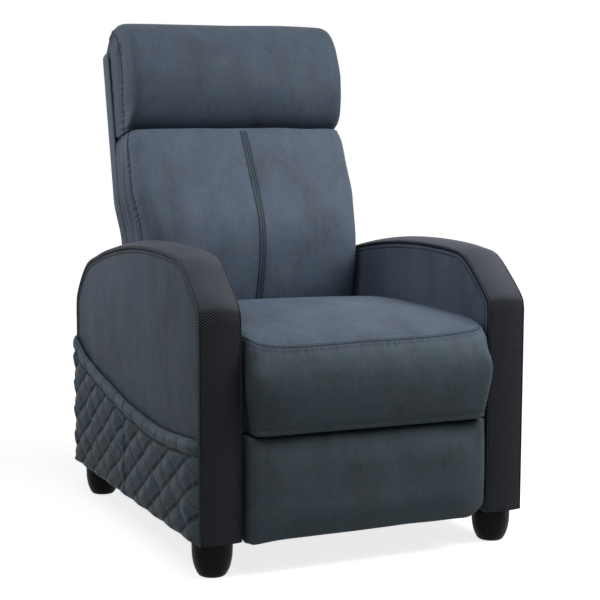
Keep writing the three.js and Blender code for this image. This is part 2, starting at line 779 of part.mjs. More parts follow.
function buildFootrest() {
  const boardBack = bracketPivot.x - bracketStandOff;
  const boardFront = boardBack - footrestBoardThickness;
  const top = bracketPivot.y + bracketTopDrop;
  const bottom = top - footrestHeight;
  const boardHalf = footrestHalf - footrestBoardInset;
  place('footrest_board', block(-boardHalf, boardHalf, boardFront, boardBack,
    bottom + footrestBoardInset, top - footrestBoardInset), plywood);
  const rear = boardFront - rest;
  const middle = (top + bottom) / 2;
  const sides = [];
  for (let k = 0; k <= footrestSteps; k += 1) {
    const height = THREE.MathUtils.lerp(bottom, top, k / footrestSteps);
    sides.push(new THREE.Vector2(rear, height));
    sides.unshift(new THREE.Vector2(rear - footrestThickness, height));
  }
  const cushion = stuffed(sides, footrestHalf, footrestRounding, (point, share) => {
    const height = (point.y - middle) / (footrestHeight / 2);
    const front = (rear - point.x) / footrestThickness;
    const fall = footrestCrown * (share * share + height * height) / 2;
    return new THREE.Vector2(point.x + fall * front, point.y);
  });
  place('footrest_cushion', cushion, leather);
  const flangeFront = boardBack + rest;
  const foot = bracketPivot.y - bracketHeight;
  const web = wrapped([
    ...disc(bracketPivot, linkHalfWidth + rest), ...disc(tieEnd, linkHalfWidth + rest),
    new THREE.Vector2(flangeFront, top - footrestBoardInset), new THREE.Vector2(flangeFront, foot),
    new THREE.Vector2(flangeFront + bracketThickness, foot),
  ]);
  const flange = block(driveOuter - bracketFlange, driveOuter, flangeFront,
    flangeFront + bracketThickness, foot, top - footrestBoardInset);
  const holes = [bracketPivot, tieEnd].map((pivot) => hole(pivot, driveInner, driveOuter, pinRadius));
  placePair('footrest_bracket', cut(joined(slab(web, driveInner, driveOuter), flange), ...holes), steel);
}

// Push rod between the back's lever and the drive link, with a slot at its front end
function buildPushRods() {
  const slotMiddle = along(leverEnd, rodLength, rodAngle);
  const slotHalf = rodSlotHalf + running;
  const slotRadius = rodPinRadius + rodSlotPlay + running;
  const slotEnds = [-slotHalf, slotHalf].map((shift) => along(slotMiddle, shift, rodAngle));
  const eye = bar(...slotEnds, slotRadius + rodEyeWall);
  const shank = bar(leverEnd, slotMiddle);
  const slot = bar(...slotEnds, slotRadius);
  const body = joined(slab(shank, scissorInner, scissorOuter), slab(eye, scissorInner, scissorOuter));
  const rod = cut(body, slab(slot, scissorInner - overrun, scissorOuter + overrun),
    hole(leverEnd, scissorInner, scissorOuter, pinRadius));
  placePair('push_rod', rod, steel);
}

// Back, drawn upright about the hinge: +Z up along it, +Y towards its rear
function backOutline(shares, fromZ, height, fromDepth, depth) {
  return shares.map(([up, ahead]) => new THREE.Vector2(
    hingeDepth - fromDepth - ahead * depth,
    fromZ + up * height,
  )).reverse();
}

function backShell() {
  const outline = new THREE.Shape();
  const inner = new THREE.Path();
  const rear = hingeDepth;
  const front = hingeDepth - shellDepth;
  const corner = shellCorner;
  const wallHalf = backHalf - shellWall;
  outline.moveTo(-backHalf, front);
  outline.lineTo(-wallHalf, front);
  outline.lineTo(-wallHalf, rear - corner);
  outline.absarc(-backHalf + corner, rear - corner, corner - shellWall, Math.PI, Math.PI / 2, true);
  outline.lineTo(backHalf - corner, rear - shellWall);
  outline.absarc(backHalf - corner, rear - corner, corner - shellWall, Math.PI / 2, 0, true);
  outline.lineTo(wallHalf, front);
  outline.lineTo(backHalf, front);
  outline.lineTo(backHalf, rear - corner);
  outline.absarc(backHalf - corner, rear - corner, corner, 0, Math.PI / 2, false);
  outline.lineTo(-backHalf + corner, rear);
  outline.absarc(-backHalf + corner, rear - corner, corner, Math.PI / 2, Math.PI, false);
  outline.closePath();
  const wall = new THREE.ExtrudeGeometry(outline, {
    depth: shellHeight - shellSideStart,
    bevelEnabled: false,
    curveSegments: arcSteps,
  }).translate(0, 0, shellSideStart);
  const lid = new THREE.Shape();
  lid.moveTo(-backHalf + corner, rear);
  lid.absarc(-backHalf + corner, rear - corner, corner, Math.PI / 2, Math.PI, false);
  lid.lineTo(-backHalf, front);
  lid.lineTo(backHalf, front);
  lid.absarc(backHalf - corner, rear - corner, corner, 0, Math.PI / 2, false);
  lid.closePath();
  const top = new THREE.ExtrudeGeometry(lid, {
    depth: shellWall,
    bevelEnabled: false,
    curveSegments: arcSteps,
  }).translate(0, 0, shellHeight - shellWall);
  const tailHalf = backHalf - tailInset;
  const lean = radians(backLean);
  const tailDrop = (hinge.y - rearRailTop - tailClear - rear * Math.sin(lean)) / Math.cos(lean);
  const tail = block(-tailHalf, tailHalf, rear - shellWall, rear, -tailDrop, shellSideStart + bite);
  return joined(wall, top, tail);
}

function buildBack() {
  const postOuter = leverInner - rest;
  const postInner = postOuter - postWidth;
  const cushionDepth = shellDepth + cushionClear;
  const postRear = hingeDepth - shellWall - rest;
  const postFront = hingeDepth - cushionDepth + rest;
  const postTop = shellHeight - postBelowTop;
  const post = block(postInner, postOuter, postFront, postRear, -postBelow, postTop);
  placePair('back_post', post, plywood, back);
  const reach = postInner - rest;
  place('back_top_rail', block(-reach, reach, postFront, postRear, postTop - backTopRailHeight, postTop),
    plywood, back);
  place('back_bottom_rail', block(-reach, reach, postFront, postRear, backBottomRailPlace,
    backBottomRailPlace + backBottomRailHeight), plywood, back);
  place('back_shell', backShell(), darkLeather, back);

  const hingePlace = new THREE.Vector2();
  const end = along(hingePlace, leverLength, leverAngle + backLean);
  const web = wrapped([
    ...disc(hingePlace, leverHalfWidth + linkHalfWidth), ...disc(end, leverHalfWidth),
    new THREE.Vector2(postFront, postWidth), new THREE.Vector2(postRear, postWidth),
    new THREE.Vector2(postRear, -postBelow),
  ]);
  const bracket = joined(
    slab(web, leverInner, leverOuter),
    ...pinOut(hingePlace, leverOuter, seatPlateInner - rest, seatPlateOuter, hingePinRadius),
    ...pinOut(end, leverOuter, scissorInner - rest, scissorOuter),
  );
  placePair('back_bracket', bracket, steel, back);

  const outline = backOutline(backOutlineShares, backCushionStart, backCushionHeight, cushionDepth,
    backCushionDepth);
  const cushion = stuffed(outline, backHalf, backRounding, (point, share, x) => {
    const ahead = (hingeDepth - cushionDepth - point.x) / backCushionDepth;
    const seamShare = Math.exp(-((x / backSeamWidth) ** 2)) * smoothStep(2 * (ahead - backSeamStartShare));
    const seam = backSeamDepth * seamShare;
    return new THREE.Vector2(point.x + backCrown * share * share * ahead + seam, point.y);
  });
  place('back_cushion', cushion, leather, back);

  const headStart = backCushionStart + backCushionHeight + rest;
  const headOutline = backOutline(headrestShares, headStart, headrestHeight, cushionDepth, headrestDepth);
  const whole = stuffed(headOutline, backHalf, headrestRounding, (point, share) => {
    const ahead = Math.max(0, hingeDepth - cushionDepth - point.x) / headrestDepth;
    const up = smoothStep((point.y - shellHeight) / (headStart + headrestHeight - shellHeight));
    return new THREE.Vector2(
      point.x + headrestCrown * share * share * ahead,
      point.y - headrestTopCrown * share * share * up,
    );
  });
  const wide = backHalf + overrun;
  const shellSpace = block(-wide, wide, hingeDepth - cushionDepth, hingeDepth + overrun,
    headStart - overrun, shellHeight + rest);
  place('headrest_cushion', cut(whole, shellSpace), leather, back);
  back.position.set(0, hinge.x, hinge.y);
  back.rotation.x = -radians(backLean);
  recliner.add(back);
}

buildArms();
buildFeet();
buildBase();
buildSwingLinks();
buildSeat();
buildDriveLinks();
buildFootrestLinks();
buildFootrest();
buildPushRods();
buildBack();

// Stands the chair over the middle of its footprint
const footprint = new THREE.Box3().setFromObject(recliner);
recliner.position.y = -(footprint.min.y + footprint.max.y) / 2;

export default recliner;
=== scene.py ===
import json
import math

import bmesh
import bpy
import numpy as np
from bpy.props import FloatProperty, FloatVectorProperty, IntProperty, PointerProperty
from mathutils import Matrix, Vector
from mathutils.bvhtree import BVHTree


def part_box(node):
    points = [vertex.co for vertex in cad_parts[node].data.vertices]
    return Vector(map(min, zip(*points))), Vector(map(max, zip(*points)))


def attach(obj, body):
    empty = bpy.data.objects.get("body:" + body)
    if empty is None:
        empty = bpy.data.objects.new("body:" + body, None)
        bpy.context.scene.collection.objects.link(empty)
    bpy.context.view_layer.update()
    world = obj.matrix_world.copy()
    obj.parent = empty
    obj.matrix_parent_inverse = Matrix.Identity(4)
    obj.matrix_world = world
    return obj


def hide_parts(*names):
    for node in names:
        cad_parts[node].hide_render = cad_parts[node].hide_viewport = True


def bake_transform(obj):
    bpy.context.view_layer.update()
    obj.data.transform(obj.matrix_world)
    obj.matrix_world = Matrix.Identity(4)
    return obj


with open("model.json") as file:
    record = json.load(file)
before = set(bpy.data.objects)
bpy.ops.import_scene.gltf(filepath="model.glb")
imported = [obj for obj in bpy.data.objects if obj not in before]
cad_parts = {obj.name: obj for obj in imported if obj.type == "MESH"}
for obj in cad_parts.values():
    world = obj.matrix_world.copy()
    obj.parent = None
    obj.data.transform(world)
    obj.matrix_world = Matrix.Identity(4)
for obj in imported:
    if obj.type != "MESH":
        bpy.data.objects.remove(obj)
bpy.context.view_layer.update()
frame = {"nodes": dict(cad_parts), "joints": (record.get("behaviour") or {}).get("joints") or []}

bl_info = {
    "name": "Push-back recliner",
    "version": (1, 0, 0),
    "blender": (4, 5, 0),
    "location": "3D View > Sidebar > Recliner",
    "description": "Covers, cushions, stitching and finishes of a push-back recliner",
    "category": "Object",
}

MM = 0.001

# Places taken from the frame, in metres
HINGE = np.array(next(j["pos_m"] for j in frame["joints"] if j["name"] == "back_recline"))
ARM_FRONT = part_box("left_side_pocket")[0].y
ARM_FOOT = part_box("left_side_pocket")[0].z
ARM_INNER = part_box("left_arm_inner_panel")[0].x
ARM_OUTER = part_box("left_arm_band")[1].x
ARM_MIDDLE = (ARM_INNER + ARM_OUTER) / 2

# The arm's board: its length, its height above the foot's underside, and the band's thickness on its edge
ARM_LENGTH = 794 * MM
ARM_RISE = 519 * MM
BAND_DEPTH = 5.3 * MM

# The leant back: across, ahead of its rear face, and up along it from the hinge, which is 94.8 mm ahead
LEAN = math.radians(12.5)
BACK_AXES = np.array([
    [1, 0, 0],
    [0, -math.cos(LEAN), math.sin(LEAN)],
    [0, math.sin(LEAN), math.cos(LEAN)],
])
HINGE_AHEAD = 94.8
BACK_ORIGIN = HINGE - BACK_AXES[1] * HINGE_AHEAD * MM

# The back's pieces, in mm along those axes. The shell carries the cushions, and is wider above the arms
SHELL_DEPTH = 62
SHELL_HALF = 251
SHELL_WIDENING = 11
BACK_HALF = 250
BACK_DEPTH = 190
BACK_FOOT = 58
BACK_HEIGHT = 462
BACK_TOP = BACK_FOOT + BACK_HEIGHT
HEAD_DEPTH = 168
HEAD_FOOT = 520.3
HEAD_HEIGHT = 271
COVER_FOOT = 138
COVER_TOP = 738

# Shares by which the back cushion and the headrest curve rearwards at their ends, at the foot and at the top
BACK_CURVE = (0.06, 0.1)
HEAD_CURVE = (0, 0.06)

# Outlines of the soft pieces: shares of their own height and depth, or of the arm's rise and length
BACK_SHARES = ((0, 0), (0.004, 0.4), (0.02, 0.5), (0.07, 0.59), (0.14, 0.69), (0.22, 0.8), (0.32, 0.915),
               (0.44, 1), (0.54, 1.015), (0.64, 0.955), (0.74, 0.88), (0.85, 0.8), (0.93, 0.75),
               (0.985, 0.69), (1, 0.52), (1, 0))
HEAD_SHARES = ((0, 0), (0, 0.46), (0.018, 0.62), (0.09, 0.79), (0.2, 0.91), (0.34, 0.98), (0.47, 1),
               (0.62, 0.97), (0.76, 0.9), (0.88, 0.76), (0.96, 0.56), (1, 0.3), (0.975, 0.04), (0.92, -0.18),
               (0.86, -0.31))
ARM_EDGE = ((0, 0.77), (0.004, 0.8), (0.06, 0.89), (0.122, 0.963), (0.174, 0.982), (0.348, 1), (0.521, 0.994),
            (0.695, 0.963), (0.782, 0.936), (0.887, 0.892), (0.99, 0.752), (1, 0.69))
POCKET_EDGE = ((0, 0.37), (0.118, 0.358), (0.258, 0.352), (0.388, 0.367), (0.521, 0.39), (0.63, 0.42),
               (0.76, 0.457), (0.88, 0.5), (1, 0.573))
# Front of the seat and its border in the side view, in mm from the arm's front and from the floor
SEAT_OUTLINE = ((22, 258), (4, 257), (-16, 257.5), (-25, 260), (-30, 266), (-34, 284), (-38.5, 310),
                (-43, 338), (-45, 356), (-44.5, 372), (-41.5, 387), (-36, 400), (-29, 411), (-20, 421),
                (-9, 431), (6, 441), (38, 453), (97, 461), (177, 467), (275, 470), (364, 469), (442, 464),
                (487, 449), (508, 422), (506, 388), (486, 353))
# The seat's seam: across, back from the arms' front and up, in mm
SEAT_SEAM = ((247, 300, 440), (249, 160, 443), (250, 60, 443), (249, 16, 443), (243, -6, 442),
             (227, -16, 440), (205, -21, 437), (160, -23.5, 431.5), (120, -24.5, 428.5), (45, -25, 426),
             (-27, -25, 424.5), (-98, -25, 421), (-150, -24.5, 419), (-200, -22, 419), (-229, -15, 422),
             (-243, -2, 427), (-249, 18, 433), (-250, 60, 438), (-249, 160, 441), (-247, 300, 439))

# Lamps: name, place, what each is aimed at, width in metres, watts and beam in degrees
LAMPS = (
    ("Right", (1.15, -0.85, 1.6), (0, 0, 0.6), 1, 22, 180),
    ("Top", (-0.15, -0.85, 2.2), (0, 0, 0.5), 1.1, 10, 180),
    ("Left", (-0.95, -0.5, 1.4), (-0.2, 0, 0.5), 0.6, 2.4, 180),
    ("Rear left", (-1.3, 0.6, 1.25), (-0.25, 0.3, 0.95), 0.5, 1.2, 70),
)
# The camera, fitted to the chair: what it looks at, its bearing and height in degrees, and its lens
CAMERA_TARGET = (0.0384, 0.1113, 0.3941)
CAMERA_BEARING = -24.15
CAMERA_RISE = 6.03
CAMERA_DISTANCE = 2.8254
CAMERA_LENS = 75.914
CAMERA_SHIFT = (0.0418, 0.0428)


def linear(code):
    """An sRGB hex colour as linear red, green and blue."""
    parts = [int(code[i:i + 2], 16) / 255 for i in (1, 3, 5)]
    return tuple(c / 12.92 if c <= 0.04045 else ((c + 0.055) / 1.055) ** 2.4 for c in parts)


def length(name, description, default, **limits):
    """A size in metres."""
    return FloatProperty(name=name, description=description, default=default, subtype="DISTANCE",
                         unit="LENGTH", precision=4, **limits)


def colour(name, description, code):
    """A colour shown as a swatch."""
    return FloatVectorProperty(name=name, description=description, default=linear(code), subtype="COLOR",
                               size=3, min=0, max=1)


class ReclinerSizes(bpy.types.PropertyGroup):
    """Sizes that the covers and their details follow."""

    voxel: length("Cushion mesh", "Face size of the cushions before they are filled", 6 * MM, min=3 * MM)
    cushion_swell: length("Cushion swell", "Most that a cushion's cover may move out when filled", 22 * MM)
    stitch_pitch: length("Stitch pitch", "From one stitch to the next", 6.4 * MM, min=2 * MM)
    stitch_length: length("Stitch length", "Length of thread that shows in one stitch", 5 * MM, min=1 * MM)
    thread_radius: length("Thread radius", "Half the thread's thickness", 0.75 * MM, min=0.2 * MM)
    seam_width: length("Seam width", "Half the width of the dip along a seam", 3.2 * MM)
    quilt_width: length("Quilt width", "Width of one quilted lozenge on the pockets", 94 * MM)
    quilt_height: length("Quilt height", "Height of one quilted lozenge on the pockets", 60 * MM)
    quilt_loft: length("Quilt loft", "How far a lozenge stands out between its stitches", 8.6 * MM)
    hem: length("Pocket hem", "Height of the padded hem along the pocket's mouth", 29 * MM)
    hem_puff: length("Hem puffs", "From one pleat of the pocket's hem to the next", 68 * MM)
    rib_pitch: length("Rib pitch", "From one rib of the twill to the next", 4.1 * MM)
    seed: IntProperty(name="Seed", description="Sets the chance folds and the stitches' turns", default=7)


class ReclinerColours(bpy.types.PropertyGroup):
    """Colours of the finishes."""

    leather: colour("Leather", "Slate leather of the cushions and arms", "#5C6878")
    quilt: colour("Quilted leather", "Leather of the side pockets", "#66747F")
    thread: colour("Thread", "Sewing thread", "#10282D")
    quilt_thread: colour("Quilting thread", "Thread of the pockets' quilting", "#6F7F8A")
    band: colour("Twill", "Twill of the arm bands", "#1E1F22")
    band_rib: colour("Twill ribs", "Raised ribs of the twill", "#3F434B")
    steel: colour("Mechanism", "Powder-coated steel of the mechanism", "#26282B")
    spring: colour("Springs", "Bare spring wire", "#8A8D90")
    plywood: colour("Plywood", "Stained plywood of the frame", "#4A3A2B")
    foot: colour("Feet", "Moulded plastic of the feet", "#0D0D0E")
    floor: colour("Floor", "Floor and backdrop", "#F4F4F4")


def sizes():
    return bpy.context.scene.recliner_sizes


def colours():
    return bpy.context.scene.recliner_colours


# Shapes in numbers

def drawn(points, steps=10):
    """A smooth line through the points, with steps between each two."""
    p = np.array(points, float)
    gap = np.sqrt(np.linalg.norm(np.diff(p, axis=0), axis=1))
    t = np.concatenate([[0], np.cumsum(gap)])
    slope = np.gradient(p, t, axis=0, edge_order=1)
    line = []
    for i in range(len(p) - 1):
        s = np.linspace(0, 1, steps, endpoint=False)[:, None]
        h = t[i + 1] - t[i]
        line.append((2 * s**3 - 3 * s**2 + 1) * p[i] + (s**3 - 2 * s**2 + s) * h * slope[i]
                    + (3 * s**2 - 2 * s**3) * p[i + 1] + (s**3 - s**2) * h * slope[i + 1])
    return np.concatenate([*line, p[-1:]])


def evenly(line, pitch):
    """The same line with points about one pitch apart."""
    run = np.concatenate([[0], np.cumsum(np.linalg.norm(np.diff(line, axis=0), axis=1))])
    at = np.linspace(0, run[-1], max(2, round(run[-1] / pitch) + 1))
    return np.stack([np.interp(at, run, line[:, k]) for k in range(line.shape[1])], 1)


def waves(points, size, seed):
    """Smooth seeded unevenness over the points, mostly between -1 and 1, with features of about that size."""
    random = np.random.default_rng(seed)
    count = 16
    heading = random.normal(size=(count, points.shape[1]))
    heading /= np.linalg.norm(heading, axis=1)[:, None]
    turn = heading * (2 * math.pi / (size * random.uniform(0.75, 1.7, count)))[:, None]
    return np.sin(points @ turn.T + random.uniform(0, 2 * math.pi, count)).sum(1) / math.sqrt(count)


def near(points, line):
    """Each point's distance to the line, and how far along the line its nearest place is."""
    best = np.full(len(points), np.inf)
    place = np.zeros(len(points))
    run = 0
    for a, b in zip(line[:-1], line[1:]):
        step = b - a
        size = np.linalg.norm(step)
        share = np.clip((points - a) @ step / size**2, 0, 1)
        gap = np.linalg.norm(points - a - share[:, None] * step, axis=1)
        closer = gap < best
        best[closer] = gap[closer]
        place[closer] = run + share[closer] * size
        run += size
    return best, place


def ease(low, high, value):
    """0 below low, 1 above high and smooth between."""
    t = np.clip((value - low) / (high - low), 0, 1)
    return t * t * (3 - 2 * t)


def from_back(points):
    """Points given across, ahead and up along the leant back, in the frame."""
    return np.asarray(points) @ BACK_AXES + BACK_ORIGIN


def to_back(points):
    """Points of the frame, given across, ahead and up along the leant back."""
    return (points - BACK_ORIGIN) @ BACK_AXES.T


def beside(points):
    """Points given across, back from the arms' front and up from the floor, in mm, in the frame."""
    return np.asarray(points, float) * MM + (0, ARM_FRONT, 0)


# Meshes

def piece(name, points, faces, material, uv=None):
    """A smooth-shaded closed mesh with its faces turned outwards."""
    mesh = bpy.data.meshes.new(name)
    mesh.from_pydata(np.asarray(points).tolist(), [], [list(map(int, f)) for f in faces])
    if uv is not None:
        corner = np.zeros(len(mesh.loops), int)
        mesh.loops.foreach_get("vertex_index", corner)
        mesh.uv_layers.new(name="Along").data.foreach_set("uv", uv[corner].ravel())
    body = bmesh.new()
    body.from_mesh(mesh)
    bmesh.ops.recalc_face_normals(body, faces=body.faces)
    body.to_mesh(mesh)
    body.free()
    mesh.materials.append(material)
    mesh.shade_smooth()
    obj = bpy.data.objects.new(name, mesh)
    bpy.context.scene.collection.objects.link(obj)
    return obj


def places(mesh, kind="co"):
    """The mesh's points, or the directions that they face."""
    found = np.zeros(len(mesh.vertices) * 3)
    if kind == "co":
        mesh.vertices.foreach_get("co", found)
    else:
        mesh.vertex_normals.foreach_get("vector", found)
    return found.reshape(-1, 3)


def move_to(mesh, points):
    """Puts the mesh's points at new places."""
    mesh.vertices.foreach_set("co", np.asarray(points, np.float32).ravel())
    mesh.update()


def mark(obj, name, values):
    """Keeps one number for each point, which the material reads."""
    kept = obj.data.attributes.new(name, "FLOAT", "POINT")
    kept.data.foreach_set("value", np.asarray(values, np.float32))


def settled(obj):
    """Turns the object's modifiers into plain mesh."""
    graph = bpy.context.evaluated_depsgraph_get()
    mesh = bpy.data.meshes.new_from_object(obj.evaluated_get(graph))
    obj.modifiers.clear()
    obj.data = mesh
    return obj


def surface_of(obj):
    """The object's faces, kept so that places on them are found fast."""
    return BVHTree.FromPolygons([v.co for v in obj.data.vertices], [p.vertices for p in obj.data.polygons])


def laid(tree, points, lift=0.0):
    """The points moved to the nearest place on the surface, and lifted off it."""
    found = [tree.find_nearest(Vector(p)) for p in points]
    return np.array([place + normal * lift for place, normal, _, _ in found])


def cast(tree, starts, heading):
    """Where rays from the starts meet the surface; those that miss are left out."""
    hits = [tree.ray_cast(Vector(p), Vector(heading))[0] for p in starts]
    return np.array([h for h in hits if h is not None])


def shifted(tree, line, offset):
    """The line moved sideways over the surface."""
    ahead = np.gradient(line, axis=0)
    normal = np.array([tree.find_nearest(Vector(p))[1] for p in line])
    side = np.cross(ahead, normal)
    side /= np.linalg.norm(side, axis=1)[:, None]
    return laid(tree, line + side * offset)


def slab_faces(rows, columns):
    """Faces of two grids of points back to back, joined round their edges."""
    index = np.arange(rows * columns).reshape(rows, columns)
    count = rows * columns
    front = np.stack([index[:-1, :-1], index[:-1, 1:], index[1:, 1:], index[1:, :-1]], -1).reshape(-1, 4)
    ring = np.concatenate([index[0, :-1], index[:-1, -1], index[-1, :0:-1], index[:0:-1, 0]])
    after = np.roll(ring, -1)
    wall = np.stack([after, ring, ring + count, after + count], -1)
    return [*front, *(front[:, ::-1] + count), *wall]


def loft_faces(rings, around):
    """Faces of a closed tube of rings, with an end face at each end."""
    index = np.arange(rings * around).reshape(rings, around)
    after = np.roll(index, -1, axis=1)
    side = np.stack([index[:-1], after[:-1], after[1:], index[1:]], -1).reshape(-1, 4)
    return [*side, index[0][::-1], index[-1]]


def rounded(past, radius):
    """How far a face falls away where it is that far past the start of a rounded edge."""
    share = (past / radius).clip(0, 1)
    return radius * (1 - np.sqrt(1 - share**2))


def other_side(obj, name):
    """The same piece on the chair's other side."""
    twin = bpy.data.objects.new(name, obj.data.copy())
    twin.data.name = name
    points = places(twin.data)
    points[:, 0] *= -1
    move_to(twin.data, points)
    twin.data.flip_normals()
    bpy.context.scene.collection.objects.link(twin)
    return twin


def stuffed(name, outline, half, rounding, anchor, to_frame, material):
    """A body whose side outline runs across the chair and is drawn in towards the anchor round its ends."""
    reach = np.abs(outline - anchor).max(0)
    straight = half - rounding
    turns = np.linspace(0, math.pi / 2, 7)
    across = np.concatenate([
        -(straight + rounding * np.cos(turns)),
        np.linspace(-straight, straight, 60)[1:-1],
        (straight + rounding * np.cos(turns))[::-1],
    ])
    drawing = rounded(np.abs(across) - straight, rounding)
    rings = [np.column_stack([np.full(len(outline), x), (outline - anchor) * (1 - d / reach) + anchor])
             for x, d in zip(across, drawing)]
    return piece(name, to_frame(np.concatenate(rings)), loft_faces(len(rings), len(outline)), material)


def even_mesh(obj, voxel, rounds):
    """Remeshes the body into even faces and smooths it."""
    remesh = obj.modifiers.new("Even faces", "REMESH")
    remesh.mode = "VOXEL"
    remesh.voxel_size = voxel
    soften = obj.modifiers.new("Soften", "SMOOTH")
    soften.factor = 0.5
    soften.iterations = rounds
    return settled(obj)


def tied(points, held, seams):
    """The points' held shares, with those along the seams held too."""
    for line in seams:
        gap, _ = near(points, line)
        held = np.maximum(held, np.exp(-((gap / (5 * MM)) ** 2)))
    return held


def calmed(obj, start, held, cap, rounds):
    """Keeps every point's move from its start within the cap and evens the moves out among neighbours."""
    calming = 0.6
    move = places(obj.data) - start
    size = np.linalg.norm(move, axis=1)
    move *= (cap * np.tanh(size / cap) / np.maximum(size, 1e-9))[:, None]
    ends = np.zeros(2 * len(obj.data.edges), int)
    obj.data.edges.foreach_get("vertices", ends)
    a, b = ends.reshape(-1, 2).T
    count = np.bincount(np.concatenate([a, b]), minlength=len(start))
    free = (1 - held).clip(0, 1)[:, None]
    for _ in range(rounds):
        total = np.column_stack([np.bincount(a, side, len(start)) + np.bincount(b, other, len(start))
                                 for side, other in zip(move[b].T, move[a].T)])
        move += calming * free * (total / count[:, None] - move)
    move_to(obj.data, start + move)


def filled(obj, held, shrink, cap, calm):
    """Draws the cover in by the shrink and fills it by cloth pressure, while the held points stay.

    No point moves out further than the cap, and the folds are calmed that many times."""
    points, normals = places(obj.data), places(obj.data, "normal")
    move_to(obj.data, points - normals * ((1 - held) * shrink)[:, None])
    start = places(obj.data)
    moments, pressure = 20, 4
    group = obj.vertex_groups.new(name="Held")
    for level in range(1, 11):
        chosen = np.flatnonzero(np.round(held * 10) == level)
        if len(chosen):
            group.add(chosen.tolist(), level / 10, "REPLACE")
    cloth = obj.modifiers.new("Filling", "CLOTH")
    setting = cloth.settings
    setting.quality = 5
    setting.mass = 0.3
    setting.tension_stiffness = 15
    setting.compression_stiffness = 15
    setting.shear_stiffness = 5
    setting.bending_stiffness = 0.6
    setting.use_pressure = True
    setting.uniform_pressure_force = pressure
    setting.effector_weights.gravity = 0
    setting.vertex_group_mass = "Held"
    cloth.collision_settings.use_collision = False
    cloth.point_cache.frame_start = 1
    cloth.point_cache.frame_end = moments
    scene = bpy.context.scene
    for moment in range(1, moments + 1):
        scene.frame_set(moment)
    settled(obj)
    scene.frame_set(1)
    calmed(obj, start, held, cap, calm)
    obj.vertex_groups.clear()
    return obj


def finer(obj):
    """Splits every face in four on the smooth surface."""
    split = obj.modifiers.new("Finer", "SUBSURF")
    split.levels = split.render_levels = 1
    return settled(obj)


def sewn(obj, seams):
    """Draws the surface in along each seam, puckers it on both sides, and marks painted shade along the seam
    and in the puckers' hollows.

    A seam is its line, the depth of its dip, and the puckers' height, pitch and reach."""
    points, normals = places(obj.data), places(obj.data, "normal")
    width = sizes().seam_width
    shade = np.zeros(len(points))
    depth = np.zeros(len(points))
    for k, (line, dip, pucker, pitch, reach) in enumerate(seams):
        gap, run = near(points, line)
        depth -= dip * np.exp(-((gap / width) ** 2))
        if pucker:
            steps = np.column_stack([run, np.zeros(len(run))])
            strength = 0.55 + 0.45 * waves(steps, 4 * pitch, sizes().seed + k)
            phase = 2 * math.pi * run / pitch + 1.4 * waves(steps, 2.5 * pitch, sizes().seed + 11 + k)
            beside_seam = np.exp(-gap / reach) * (1 - np.exp(-((gap / width) ** 2)))
            depth += pucker * strength.clip(0, 1.2) * np.cos(phase) * beside_seam
            shade = np.maximum(shade, 0.45 * (-np.cos(phase)).clip(0, 1) * beside_seam)
        wide = (1.05 if pucker > 1 * MM else 0.7) * width
        shade = np.maximum(shade, np.exp(-((gap / wide) ** 2)))
    move_to(obj.data, points + normals * depth[:, None])
    mark(obj, "seam", shade)
    return obj


# Materials

def add(tree, kind, settings=None, inputs=None, stops=()):
    """A node of that kind, with its settings, inputs that are values or linked sockets, and colour stops."""
    made = tree.nodes.new(kind)
    for name, value in (settings or {}).items():
        setattr(made, name, value)
    for name, value in (inputs or {}).items():
        if isinstance(value, bpy.types.NodeSocket):
            tree.links.new(value, made.inputs[name])
        else:
            made.inputs[name].default_value = value
    for k, (place, rgb) in enumerate(stops):
        stop = made.color_ramp.elements[k] if k < 2 else made.color_ramp.elements.new(place)
        stop.position = place
        stop.color = (*rgb, 1)
    return made


def per_metre(size):
    """The scale of a texture whose features are that size, in metres."""
    return 1 / size


def band_scale(period):
    """The scale of a wave texture whose bands are that far apart, in metres."""
    return math.pi / 10 / period


def begin(name):
    """An empty material with its output and one principled shader."""
    material = bpy.data.materials.new(name)
    material.use_nodes = True
    tree = material.node_tree
    tree.nodes.clear()
    shader = add(tree, "ShaderNodeBsdfPrincipled")
    add(tree, "ShaderNodeOutputMaterial", inputs={"Surface": shader.outputs[0]})
    return material, tree, shader


def toned(rgb, share):
    """The colour made lighter or darker by a share."""
    return tuple(min(1.0, c * share) for c in rgb)


